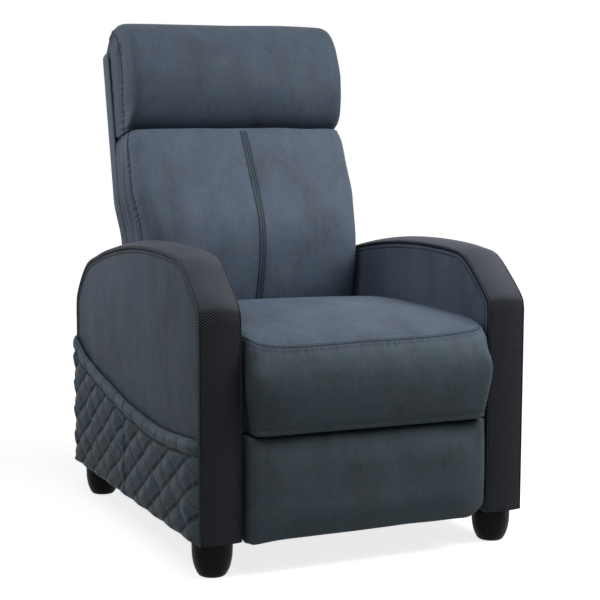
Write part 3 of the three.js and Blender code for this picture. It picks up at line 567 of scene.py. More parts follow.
def leather(name, rgb, contrast=1.0):
    """Coated split leather, embossed with a fine pebble grain and scuffed so that its tone clouds.

    The eye reads soft slate clouds drawn out up the panels, a satin surface and seams darkened by painted
    shade; marked places get painted highlights, and marked panels a darker, warmer painted shade."""
    found = bpy.data.materials.get(name)
    if found:
        return found
    material, tree, shader = begin(name)
    at = add(tree, "ShaderNodeTexCoord").outputs["Object"]
    drawn_out = add(tree, "ShaderNodeMapping", inputs={"Vector": at, "Scale": (1, 1, 0.5)}).outputs[0]
    cloud = add(tree, "ShaderNodeTexNoise", inputs={
        "Vector": drawn_out, "Scale": per_metre(70 * MM), "Detail": 5, "Roughness": 0.62, "Distortion": 0.4})
    fleck = add(tree, "ShaderNodeTexNoise", inputs={
        "Vector": drawn_out, "Scale": per_metre(9 * MM), "Detail": 3, "Roughness": 0.65})
    # The embossed pebbles are about 1 mm across on the real skin; they are drawn at 2.4 mm so that they show
    pebble = add(tree, "ShaderNodeTexVoronoi", {"feature": "SMOOTH_F1"}, {
        "Vector": at, "Scale": per_metre(2.4 * MM), "Smoothness": 0.4})
    crease = add(tree, "ShaderNodeTexNoise", inputs={
        "Vector": at, "Scale": per_metre(26 * MM), "Detail": 5, "Roughness": 0.5})
    mixed = add(tree, "ShaderNodeMix", {"data_type": "FLOAT"}, {
        "Factor": 0.35, "A": cloud.outputs["Fac"], "B": fleck.outputs["Fac"]}).outputs[0]
    spread = 0.26 * contrast
    warm = tuple(c * w for c, w in zip(rgb, (1.09, 0.995, 0.94)))
    cool = tuple(c * w for c, w in zip(rgb, (0.95, 1.005, 1.02)))
    tone = add(tree, "ShaderNodeValToRGB", None, {"Fac": mixed}, [
        (0.34, toned(cool, 1 - spread)), (0.45, toned(warm, 1 - 0.4 * spread)), (0.52, cool),
        (0.6, toned(warm, 1 + 0.25 * spread)), (0.72, toned(cool, 1 + spread))]).outputs["Color"]
    # Some panels are cut from a duller hide
    # Painted shade: marked panels are darkened and warmed, standing in for the dimmer, warmer light that
    # reaches them from the floor
    dull = add(tree, "ShaderNodeAttribute", {"attribute_name": "dull"}).outputs["Fac"]
    hide = add(tree, "ShaderNodeMix", {"data_type": "RGBA", "blend_type": "MULTIPLY"}, {
        "Factor": dull, "A": tone, "B": (0.9, 0.92, 0.8, 1)}).outputs["Result"]
    # Painted shade: marked seams, pucker hollows and grooves are darkened towards a near-black of the same
    # leather
    seam = add(tree, "ShaderNodeAttribute", {"attribute_name": "seam"}).outputs["Fac"]
    painted_seam_shade = add(tree, "ShaderNodeMath", {"operation": "MULTIPLY", "use_clamp": True}, {
        0: seam, 1: 0.82}).outputs[0]
    shaded = add(tree, "ShaderNodeMix", {"data_type": "RGBA", "blend_type": "MIX"}, {
        "Factor": painted_seam_shade, "A": hide, "B": (*toned(rgb, 0.12), 1)}).outputs["Result"]
    # Painted highlight: where marked, the leather is lightened towards a pale grey
    rubbed = add(tree, "ShaderNodeAttribute", {"attribute_name": "rubbed"}).outputs["Fac"]
    highlight_level = add(tree, "ShaderNodeMath", {"operation": "MULTIPLY", "use_clamp": True}, {
        0: rubbed, 1: 0.55}).outputs[0]
    highlighted = add(tree, "ShaderNodeMix", {"data_type": "RGBA"}, {
        "Factor": highlight_level, "A": shaded, "B": (*toned(rgb, 2.8), 1)}).outputs["Result"]
    tree.links.new(highlighted, shader.inputs["Base Color"])
    gloss = add(tree, "ShaderNodeMapRange", inputs={
        "Value": fleck.outputs["Fac"], "From Min": 0.3, "From Max": 0.7, "To Min": 0.5, "To Max": 0.66})
    tree.links.new(gloss.outputs[0], shader.inputs["Roughness"])
    grain = add(tree, "ShaderNodeBump", inputs={
        "Strength": 0.35, "Distance": 0.35 * MM, "Height": pebble.outputs["Distance"]})
    folds = add(tree, "ShaderNodeBump", inputs={
        "Strength": 0.5, "Distance": 2.2 * MM, "Height": crease.outputs["Fac"], "Normal": grain.outputs[0]})
    tree.links.new(folds.outputs[0], shader.inputs["Normal"])
    shader.inputs["Specular IOR Level"].default_value = 0.08
    shader.inputs["IOR"].default_value = 1.46
    return material


def twill(name, rgb, rib_rgb, pitch):
    """Coated twill, woven in steep ribs.

    The eye reads black cloth with fine slanting ribs that catch the light. Faces that turn upwards are
    painted lighter, a painted highlight of the light from above, and their ribs are flattened where arms
    rest; marked edges get a painted highlight and marked seams painted shade."""
    found = bpy.data.materials.get(name)
    if found:
        return found
    material, tree, shader = begin(name)
    along = add(tree, "ShaderNodeUVMap", {"uv_map": "Along"}).outputs[0]
    turned = add(tree, "ShaderNodeMapping", inputs={
        "Vector": along, "Rotation": (0, 0, math.radians(55))}).outputs[0]
    rib = add(tree, "ShaderNodeTexWave", {"wave_type": "BANDS", "bands_direction": "X"}, {
        "Vector": turned, "Scale": band_scale(pitch), "Distortion": 0.4, "Detail": 1, "Detail Scale": 2})
    at = add(tree, "ShaderNodeTexCoord").outputs["Object"]
    highlight_level = add(tree, "ShaderNodeTexNoise", inputs={"Vector": at, "Scale": per_metre(60 * MM), "Detail": 4})
    weave = add(tree, "ShaderNodeTexNoise", inputs={"Vector": at, "Scale": per_metre(1.8 * MM), "Detail": 2})
    # Painted highlight: faces that turn upwards are coloured lighter, as if lit from above, and their ribs
    # are drawn flatter
    upward = add(tree, "ShaderNodeSeparateXYZ", inputs={
        "Vector": add(tree, "ShaderNodeNewGeometry").outputs["Normal"]}).outputs["Z"]
    rubbed = add(tree, "ShaderNodeMapRange", {"interpolation_type": "SMOOTHSTEP"}, {
        "Value": upward, "From Min": 0.1, "From Max": 0.95, "To Min": 0, "To Max": 1}).outputs[0]
    fibre = add(tree, "ShaderNodeValToRGB", None, {"Fac": rib.outputs["Fac"]}, [
        (0.35, toned(rgb, 0.45)), (0.65, rgb), (0.92, toned(rib_rgb, 1.2))]).outputs["Color"]
    smooth = add(tree, "ShaderNodeValToRGB", None, {"Fac": highlight_level.outputs["Fac"]}, [
        (0.35, toned(rib_rgb, 1.1)), (0.65, toned(rib_rgb, 1.4))]).outputs["Color"]
    tone = add(tree, "ShaderNodeMix", {"data_type": "RGBA"}, {
        "Factor": rubbed, "A": fibre, "B": smooth}).outputs["Result"]
    # Painted highlight: along the band's marked edges the ribs are lightened towards a pale grey
    rim = add(tree, "ShaderNodeAttribute", {"attribute_name": "rubbed"}).outputs["Fac"]
    edge = add(tree, "ShaderNodeMath", {"operation": "MULTIPLY"}, {0: rim, 1: rib.outputs["Fac"]}).outputs[0]
    highlighted = add(tree, "ShaderNodeMix", {"data_type": "RGBA"}, {
        "Factor": edge, "A": tone, "B": (*toned(rib_rgb, 2.4), 1)}).outputs["Result"]
    # Painted shade: the band's marked seam grooves are darkened
    seam = add(tree, "ShaderNodeAttribute", {"attribute_name": "seam"}).outputs["Fac"]
    shaded = add(tree, "ShaderNodeMix", {"data_type": "RGBA"}, {
        "Factor": seam, "A": highlighted, "B": (*toned(rgb, 0.25), 1)}).outputs["Result"]
    tree.links.new(shaded, shader.inputs["Base Color"])
    less = add(tree, "ShaderNodeMapRange", inputs={
        "Value": rubbed, "From Min": 0, "From Max": 1, "To Min": 1, "To Max": 0.25}).outputs[0]
    height = add(tree, "ShaderNodeMath", {"operation": "MULTIPLY"}, {
        0: rib.outputs["Fac"], 1: less}).outputs[0]
    ribs = add(tree, "ShaderNodeBump", inputs={"Strength": 0.6, "Distance": 0.6 * MM, "Height": height})
    threads = add(tree, "ShaderNodeBump", inputs={
        "Strength": 0.25, "Distance": 0.3 * MM, "Height": weave.outputs["Fac"], "Normal": ribs.outputs[0]})
    tree.links.new(threads.outputs[0], shader.inputs["Normal"])
    shader.inputs["Roughness"].default_value = 0.55
    shader.inputs["Specular IOR Level"].default_value = 0.1
    return material


def thread_finish(tint):
    """Bonded polyester thread, twisted from three strands; it reads as a row of short dashes."""
    name = "Bonded polyester " + tint.replace("_", " ")
    found = bpy.data.materials.get(name)
    if found:
        return found
    material, tree, shader = begin(name)
    at = add(tree, "ShaderNodeTexCoord").outputs["Object"]
    twist = add(tree, "ShaderNodeTexNoise", inputs={"Vector": at, "Scale": per_metre(1.2 * MM), "Detail": 2})
    rgb = tuple(getattr(colours(), tint))
    tone = add(tree, "ShaderNodeValToRGB", None, {"Fac": twist.outputs["Fac"]}, [
        (0.35, toned(rgb, 0.6)), (0.7, toned(rgb, 1.5))])
    tree.links.new(tone.outputs["Color"], shader.inputs["Base Color"])
    strands = add(tree, "ShaderNodeBump", inputs={
        "Strength": 0.4, "Distance": 0.2 * MM, "Height": twist.outputs["Fac"]})
    tree.links.new(strands.outputs[0], shader.inputs["Normal"])
    shader.inputs["Roughness"].default_value = 0.6
    return material


def lining():
    """Spunbond polypropylene lining, pressed from loose fibres; it reads as matt black, mottled cloth."""
    material, tree, shader = begin("Spunbond lining")
    at = add(tree, "ShaderNodeTexCoord").outputs["Object"]
    web = add(tree, "ShaderNodeTexNoise", inputs={"Vector": at, "Scale": per_metre(3 * MM), "Detail": 4})
    rgb = tuple(colours().steel)
    tone = add(tree, "ShaderNodeValToRGB", None, {"Fac": web.outputs["Fac"]}, [
        (0.35, toned(rgb, 0.6)), (0.7, toned(rgb, 1.3))])
    tree.links.new(tone.outputs["Color"], shader.inputs["Base Color"])
    bump = add(tree, "ShaderNodeBump", inputs={
        "Strength": 0.4, "Distance": 0.2 * MM, "Height": web.outputs["Fac"]})
    tree.links.new(bump.outputs[0], shader.inputs["Normal"])
    shader.inputs["Roughness"].default_value = 0.9
    return material


def moulded_plastic():
    """Injection-moulded ABS with a fine spark texture; it reads as matt black with a soft edge light."""
    material, tree, shader = begin("Moulded ABS")
    at = add(tree, "ShaderNodeTexCoord").outputs["Object"]
    spark = add(tree, "ShaderNodeTexNoise", inputs={"Vector": at, "Scale": per_metre(1.6 * MM), "Detail": 3})
    scuff = add(tree, "ShaderNodeTexNoise", inputs={"Vector": at, "Scale": per_metre(22 * MM), "Detail": 5})
    rgb = tuple(colours().foot)
    tone = add(tree, "ShaderNodeValToRGB", None, {"Fac": scuff.outputs["Fac"]}, [
        (0.4, rgb), (0.75, toned(rgb, 1.8))])
    tree.links.new(tone.outputs["Color"], shader.inputs["Base Color"])
    bump = add(tree, "ShaderNodeBump", inputs={
        "Strength": 0.3, "Distance": 0.15 * MM, "Height": spark.outputs["Fac"]})
    tree.links.new(bump.outputs[0], shader.inputs["Normal"])
    rough = add(tree, "ShaderNodeMapRange", inputs={
        "Value": scuff.outputs["Fac"], "From Min": 0.3, "From Max": 0.7, "To Min": 0.36, "To Max": 0.55})
    tree.links.new(rough.outputs[0], shader.inputs["Roughness"])
    shader.inputs["IOR"].default_value = 1.53
    shader.inputs["Specular IOR Level"].default_value = 0.06
    return material


def powder_coat():
    """Pressed steel with a baked powder coat; it reads as black metal with orange peel and scuffed spots."""
    material, tree, shader = begin("Powder-coated steel")
    at = add(tree, "ShaderNodeTexCoord").outputs["Object"]
    peel = add(tree, "ShaderNodeTexNoise", inputs={"Vector": at, "Scale": per_metre(2 * MM), "Detail": 2})
    abrasion_and_highlight = add(tree, "ShaderNodeTexNoise", inputs={"Vector": at, "Scale": per_metre(30 * MM), "Detail": 6})
    rgb = tuple(colours().steel)
    tone = add(tree, "ShaderNodeValToRGB", None, {"Fac": abrasion_and_highlight.outputs["Fac"]}, [
        (0.42, rgb), (0.72, toned(rgb, 2.2))])
    tree.links.new(tone.outputs["Color"], shader.inputs["Base Color"])
    bump = add(tree, "ShaderNodeBump", inputs={
        "Strength": 0.25, "Distance": 0.2 * MM, "Height": peel.outputs["Fac"]})
    tree.links.new(bump.outputs[0], shader.inputs["Normal"])
    rough = add(tree, "ShaderNodeMapRange", inputs={
        "Value": abrasion_and_highlight.outputs["Fac"], "From Min": 0.3, "From Max": 0.7, "To Min": 0.34, "To Max": 0.52})
    tree.links.new(rough.outputs[0], shader.inputs["Roughness"])
    return material


def spring_wire():
    """Drawn spring steel, oiled; it reads as dull grey wire with darker drawn lines."""
    material, tree, shader = begin("Drawn spring steel")
    at = add(tree, "ShaderNodeTexCoord").outputs["Object"]
    stain = add(tree, "ShaderNodeTexNoise", inputs={"Vector": at, "Scale": per_metre(12 * MM), "Detail": 5})
    rgb = tuple(colours().spring)
    tone = add(tree, "ShaderNodeValToRGB", None, {"Fac": stain.outputs["Fac"]}, [
        (0.35, toned(rgb, 0.55)), (0.6, rgb)])
    tree.links.new(tone.outputs["Color"], shader.inputs["Base Color"])
    rough = add(tree, "ShaderNodeMapRange", inputs={
        "Value": stain.outputs["Fac"], "From Min": 0.3, "From Max": 0.7, "To Min": 0.45, "To Max": 0.3})
    tree.links.new(rough.outputs[0], shader.inputs["Roughness"])
    shader.inputs["Metallic"].default_value = 1
    return material


def plywood():
    """Poplar plywood under a dark stain; it reads as brown wood, figured along the board, with dark plies."""
    material, tree, shader = begin("Poplar plywood")
    at = add(tree, "ShaderNodeTexCoord").outputs["Object"]
    long_grain = add(tree, "ShaderNodeMapping", inputs={"Vector": at, "Scale": (0.08, 1, 1)}).outputs[0]
    figure = add(tree, "ShaderNodeTexNoise", inputs={
        "Vector": long_grain, "Scale": per_metre(7 * MM), "Detail": 5, "Distortion": 0.6})
    # Plies are 1.5 mm thick; they are drawn at 4 mm so that they show
    plies = add(tree, "ShaderNodeTexWave", {"wave_type": "BANDS", "bands_direction": "Z"}, {
        "Vector": at, "Scale": band_scale(4 * MM), "Distortion": 0.5, "Detail": 1})
    rgb = tuple(colours().plywood)
    wood = add(tree, "ShaderNodeValToRGB", None, {"Fac": figure.outputs["Fac"]}, [
        (0.3, toned(rgb, 0.72)), (0.55, rgb), (0.75, toned(rgb, 1.15))]).outputs["Color"]
    tone = add(tree, "ShaderNodeMix", {"data_type": "RGBA", "blend_type": "MULTIPLY"}, {
        "Factor": 0.3, "A": wood, "B": plies.outputs["Color"]}).outputs["Result"]
    tree.links.new(tone, shader.inputs["Base Color"])
    bump = add(tree, "ShaderNodeBump", inputs={
        "Strength": 0.3, "Distance": 0.3 * MM, "Height": figure.outputs["Fac"]})
    tree.links.new(bump.outputs[0], shader.inputs["Normal"])
    shader.inputs["Roughness"].default_value = 0.75
    return material


def main_leather():
    """The hide of the cushions, arms and cover."""
    return leather("Embossed split leather", tuple(colours().leather))


# Stitches

def stitch_tree():
    """A node tree that lays a row of stitches along every line of the mesh that it is given."""
    found = bpy.data.node_groups.get("Row of stitches")
    if found:
        return found
    tree = bpy.data.node_groups.new("Row of stitches", "GeometryNodeTree")
    for name, kind in (("Geometry", "Geometry"), ("Pitch", "Float"), ("Stitch length", "Float"),
                       ("Thread radius", "Float"), ("Seed", "Int"), ("Thread", "Material")):
        tree.interface.new_socket(name=name, in_out="INPUT", socket_type="NodeSocket" + kind)
    tree.interface.new_socket(name="Geometry", in_out="OUTPUT", socket_type="NodeSocketGeometry")
    given = add(tree, "NodeGroupInput").outputs
    line = add(tree, "GeometryNodeMeshToCurve", inputs={"Mesh": given["Geometry"]})
    spots = add(tree, "GeometryNodeCurveToPoints", {"mode": "LENGTH"}, {
        "Curve": line.outputs[0], "Length": given["Pitch"]})
    stitch = add(tree, "GeometryNodeMeshUVSphere", inputs={"Segments": 6, "Rings": 5, "Radius": 1})
    turn = add(tree, "FunctionNodeAlignRotationToVector", {"axis": "Z"}, {"Vector": spots.outputs["Tangent"]})
    chance = add(tree, "FunctionNodeRandomValue", {"data_type": "FLOAT_VECTOR"}, {
        "Min": (-0.06, -0.06, 0), "Max": (0.06, 0.06, 0), "Seed": given["Seed"]})
    skew = add(tree, "FunctionNodeEulerToRotation", inputs={"Euler": chance.outputs[0]})
    turned = add(tree, "FunctionNodeRotateRotation", {"rotation_space": "LOCAL"}, {
        "Rotation": turn.outputs[0], "Rotate By": skew.outputs[0]})
    half = add(tree, "ShaderNodeMath", {"operation": "MULTIPLY"}, {0: given["Stitch length"], 1: 0.5})
    size = add(tree, "ShaderNodeCombineXYZ", inputs={
        "X": given["Thread radius"], "Y": given["Thread radius"], "Z": half.outputs[0]})
    row = add(tree, "GeometryNodeInstanceOnPoints", inputs={
        "Points": spots.outputs["Points"], "Instance": stitch.outputs["Mesh"], "Rotation": turned.outputs[0],
        "Scale": size.outputs[0]})
    real = add(tree, "GeometryNodeRealizeInstances", inputs={"Geometry": row.outputs[0]})
    painted = add(tree, "GeometryNodeSetMaterial", inputs={
        "Geometry": real.outputs[0], "Material": given["Thread"]})
    add(tree, "NodeGroupOutput", inputs={"Geometry": painted.outputs[0]})
    return tree


def stitched(name, body, lines, thickness=1.0, tint="thread"):
    """Rows of stitches along the lines, as one plain mesh that rides on the body."""
    mesh = bpy.data.meshes.new(name)
    points, edges = [], []
    for line in lines:
        start = len(points)
        points.extend(np.asarray(line).tolist())
        edges.extend((i, i + 1) for i in range(start, len(points) - 1))
    mesh.from_pydata(points, edges, [])
    obj = bpy.data.objects.new(name, mesh)
    bpy.context.scene.collection.objects.link(obj)
    tree = stitch_tree()
    row = obj.modifiers.new("Stitches", "NODES")
    row.node_group = tree
    given = {item.name: item.identifier for item in tree.interface.items_tree if item.in_out == "INPUT"}
    s = sizes()
    row[given["Pitch"]] = s.stitch_pitch
    row[given["Stitch length"]] = s.stitch_length
    row[given["Thread radius"]] = s.thread_radius * thickness
    row[given["Seed"]] = s.seed
    row[given["Thread"]] = thread_finish(tint)
    settled(obj)
    obj.data.shade_smooth()
    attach(obj, body)
    return obj


# Cushions

class RECLINER_OT_seat(bpy.types.Operator):
    """Seat cushion with its front border, sewn as one cover"""

    bl_idname = "recliner.seat"
    bl_label = "Seat"

    def execute(self, context):
        s = sizes()
        half, rounding, board = 254, 16, 352
        outline = drawn(SEAT_OUTLINE, 6)
        under = [(486, board), (300, board), (150, board), (24, board), (22, 350), (22, 310)]
        outline = np.concatenate([outline, np.array(under, float)])
        seat = stuffed("seat_cover", outline, half, rounding, (250, board), beside, main_leather())
        even_mesh(seat, s.voxel, 5)
        points, normals = places(seat.data), places(seat.data, "normal")
        tree = surface_of(seat)
        seam = laid(tree, evenly(drawn(beside(SEAT_SEAM), 8), 8 * MM))
        chair = (points - (0, ARM_FRONT, 0)) / MM
        # The cover stays where it lies on the seat's box, behind the border and at its rear edge
        resting = (normals[:, 2] < -0.6) | ((chair[:, 1] > 14) & (chair[:, 2] < 350)) | (chair[:, 1] > 492)
        filled(seat, tied(points, resting, [seam]), 5 * MM, s.cushion_swell, 14)
        points = places(seat.data)
        # The crown falls off towards the arms, and each front corner is pulled in by its stitches
        crown_fall = 7 * MM * (chair[:, 0] / 250) ** 2
        points[:, 2] -= crown_fall * ease(415, 450, chair[:, 2]) * ease(0, 200, chair[:, 1])
        for side in (-1, 1):
            corner = beside((side * 252, -34, 404))
            gap = np.linalg.norm((points - corner) * (1, 1, 0.7), axis=1)
            points += (np.array([-side * 5, 9, -2]) * MM) * np.exp(-((gap / (17 * MM)) ** 2))[:, None]
        # It stays clear of the arms, tapers in at the border's foot and bulges ahead of them only so far
        room, furthest = 256.5 * MM, 50 * MM
        points[:, 0] = points[:, 0].clip(-room, room)
        points[:, 0] *= 1 - 0.03 * (1 - ease(262, 345, chair[:, 2])) * (1 - ease(0, 60, chair[:, 1]))
        points[:, 1] = np.maximum(points[:, 1], ARM_FRONT - furthest)
        move_to(seat.data, points)
        finer(seat)
        tree = surface_of(seat)
        seam = laid(tree, seam)
        row = shifted(tree, seam, 6 * MM)
        sewn(seat, [(seam, 2.8 * MM, 0.9 * MM, 13 * MM, 9 * MM)])
        chair = (places(seat.data) - (0, ARM_FRONT, 0)) / MM
        # Painted shade: the front border below its top lip gets the darker, warmer cast
        mark(seat, "dull", (1 - ease(400, 424, chair[:, 2])) * (1 - ease(-20, 20, chair[:, 1])))
        tree = surface_of(seat)
        stitched("seat_stitches", "seat", [laid(tree, evenly(row, 3 * MM), 0.3 * MM),
                                           laid(tree, evenly(seam, 3 * MM), 0.1 * MM)], thickness=0.75)
        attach(seat, "seat")
        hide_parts("seat_cushion", "seat_front_border")
        return {"FINISHED"}


def side_seam(up):
    """How far ahead of the back's rear face the cushion's side seam runs at each height, all in mm."""
    height, ahead = drawn(BACK_SHARES, 6)[:-8].T
    front = SHELL_DEPTH + BACK_DEPTH * np.interp((up - BACK_FOOT) / BACK_HEIGHT, height, ahead)
    at_top, slope, set_back = 156, 0.085, 22
    return np.minimum(at_top + slope * (515 - up), front - set_back)


def curved_ends(points, low, high):
    """Points of the leant back drawn rearwards towards its sides, by a share at its foot and at its top."""
    local = to_back(points)
    share = low + (high - low) * ease(80, BACK_TOP, local[:, 2] / MM)
    outward = (np.abs(local[:, 0]) / (BACK_HALF * MM)).clip(0, 1)
    local[:, 1] -= share * (local[:, 1] - SHELL_DEPTH * MM).clip(0) * outward**4
    return from_back(local)


def uneven(points):
    """Points of the back, whose filling has settled a little lower towards the sitter's right."""
    local = to_back(points)
    joint = ease(0.4, 0.52, local[:, 2])
    above = ease(0.54, 0.74, local[:, 2])
    tilt = (5 * joint + 4 * above) * MM
    local[:, 2] += 10 * MM * joint * (1 - above) + tilt * local[:, 0] / (BACK_HALF * MM)
    return from_back(local)


def wider(up):
    """Share by which the back widens above the arms, at each height along it in mm."""
    return 1 + SHELL_WIDENING / SHELL_HALF * ease(300, 400, up)


class RECLINER_OT_back(bpy.types.Operator):
    """Back cushion: a front panel sewn down its middle, and soft side strips behind a puckered seam"""

    bl_idname = "recliner.back"
    bl_label = "Back cushion"

    def execute(self, context):
        s = sizes()
        half, rounding = 252 * MM, 30 * MM
        up, ahead = drawn(BACK_SHARES, 6).T
        outline = np.column_stack([SHELL_DEPTH + BACK_DEPTH * ahead, BACK_FOOT + BACK_HEIGHT * up]) * MM
        back = stuffed("back_cushion_cover", outline, half, rounding, (SHELL_DEPTH * MM, 0.5), from_back,
                       main_leather())
        even_mesh(back, s.voxel, 5)
        points = places(back.data)
        tree = surface_of(back)
        local = to_back(points) / MM
        middle = cast(tree, from_back([(0, 0.45, z * MM) for z in range(62, 517, 8)]), -BACK_AXES[1])
        sides = []
        for side in (-1, 1):
            starts = [(side * 0.4, side_seam(z) * MM, z * MM) for z in range(64, 515, 8)]
            sides.append(cast(tree, from_back(starts), (-side, 0, 0)))
        resting = (local[:, 1] < 68) | (local[:, 2] < 63) | (local[:, 2] > 515)
        filled(back, tied(points, resting, [middle, *sides]), 4 * MM, s.cushion_swell, 10)
        points = curved_ends(places(back.data), *BACK_CURVE)
        sides = [uneven(curved_ends(line, *BACK_CURVE)) for line in sides]
        middle = uneven(middle)
        up = to_back(points)[:, 2] / MM
        points[:, 0] *= wider(up) * (1 - 0.015 * ease(480, BACK_TOP, up))
        room = 254 * MM * wider(up)
        points[:, 0] = points[:, 0].clip(-room, room)
        points = uneven(points)
        move_to(back.data, points)
        finer(back)
        points, normals = places(back.data), places(back.data, "normal")
        local = to_back(points) / MM
        # The side strips behind the seams are softer than the front and lie in long folds
        low, high = BACK_CURVE
        share = low + (high - low) * ease(80, BACK_TOP, local[:, 2])
        seam_ahead = SHELL_DEPTH + (side_seam(local[:, 2]) - SHELL_DEPTH) * (1 - share)
        strip = ease(0.5, 0.8, np.abs(normals[:, 0])) * ease(64, 74, local[:, 1])
        strip *= ease(0, 12, seam_ahead - local[:, 1])
        fold = np.sin(2 * math.pi * local[:, 1] / 34 + 0.8 * waves(local, 240, s.seed + 3))
        points = points + normals * (strip * fold * 1.7 * MM)[:, None]
        points = points + normals * (0.9 * MM * waves(local * (1, 1, 0.4), 120, s.seed + 5))[:, None]
        move_to(back.data, points)
        tree = surface_of(back)
        middle = laid(tree, middle)
        sides = [laid(tree, line) for line in sides]
        rows = [shifted(tree, evenly(middle, 4 * MM), offset) for offset in (-6.5 * MM, 6.5 * MM)]
        sewn(back, [(middle, 2.6 * MM, 0, 1, 1)] + [(row, 1.3 * MM, 0, 1, 1) for row in rows]
             + [(line, 2.6 * MM, 2.3 * MM, 14 * MM, 12 * MM) for line in sides])
        tree = surface_of(back)
        rows = [laid(tree, row, 0.3 * MM) for row in rows]
        rows += [laid(tree, evenly(line, 3 * MM), 0.8 * MM) for line in sides]
        stitched("back_stitches", "back", rows, thickness=1.3)
        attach(back, "back")
        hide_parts("back_cushion")
        return {"FINISHED"}


class RECLINER_OT_headrest(bpy.types.Operator):
    """Headrest roll with puckered side seams"""

    bl_idname = "recliner.headrest"
    bl_label = "Headrest"

    def execute(self, context):
        s = sizes()
        half, rounding = 259 * MM, 19 * MM
        up, ahead = drawn(HEAD_SHARES, 6).T
        outline = np.column_stack([SHELL_DEPTH + HEAD_DEPTH * ahead, HEAD_FOOT + HEAD_HEIGHT * up]) * MM
        corner = np.array([(11, 739.5), (61, 739.5), (62, 738.5)]) * MM
        # Painted shade: the headrest's leather is a copy of the main leather made darker, standing in for the
        # shade it gets
        hide = leather("Embossed split leather, darker hide", toned(colours().leather, 0.74))
        head = stuffed("headrest_cover", np.concatenate([outline, corner]), half, rounding,
                       (SHELL_DEPTH * MM, 0.56), from_back, hide)
        even_mesh(head, s.voxel, 5)
        points = places(head.data)
        tree = surface_of(head)
        local = to_back(points) / MM
        path = drawn([(127, 524), (138, 600), (147, 670), (147, 715), (130, 752), (101, 772), (56, 778)], 8)
        sides = [cast(tree, from_back([(side * 0.4, a * MM, z * MM) for a, z in path]), (-side, 0, 0))
                 for side in (-1, 1)]
        # The cover stays on the shell, over its top edge and along the joint with the back cushion
        held = ((local[:, 1] < 67) & (local[:, 2] < 736)) | (local[:, 2] < 524)
        held = np.maximum(held.astype(float), (local[:, 2] < 745) & (local[:, 1] < 60))
        held = np.maximum(held, 0.9 * (1 - ease(524, 575, local[:, 2])))
        filled(head, tied(points, held, sides), 4 * MM, s.cushion_swell, 10)
        points = uneven(curved_ends(places(head.data), *HEAD_CURVE))
        sides = [uneven(curved_ends(line, *HEAD_CURVE)) for line in sides]
        room = 266 * MM
        points[:, 0] = points[:, 0].clip(-room, room)
        move_to(head.data, points)
        finer(head)
        points, normals = places(head.data), places(head.data, "normal")
        local = to_back(points) / MM
        points = points + normals * (1.1 * MM * waves(local * (0.5, 1, 1), 110, s.seed + 9))[:, None]
        move_to(head.data, points)
        tree = surface_of(head)
        sides = [laid(tree, line) for line in sides]
        sewn(head, [(line, 2.8 * MM, 4 * MM, 12.5 * MM, 14 * MM) for line in sides])
        tree = surface_of(head)
        stitched("headrest_stitches", "back", [laid(tree, evenly(line, 3 * MM), 0.8 * MM) for line in sides],
                 thickness=1.3)
        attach(head, "back")
        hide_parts("headrest_cushion")
        return {"FINISHED"}


# Cover, skirt and gusset

def raised(x, up):
    """How far the cover's top reaches up, in mm, to the headrest's rear edge, which is higher at the left."""
    return ease(600, COVER_TOP, up) * (4 + 9 * (x / SHELL_HALF).clip(0, 1))


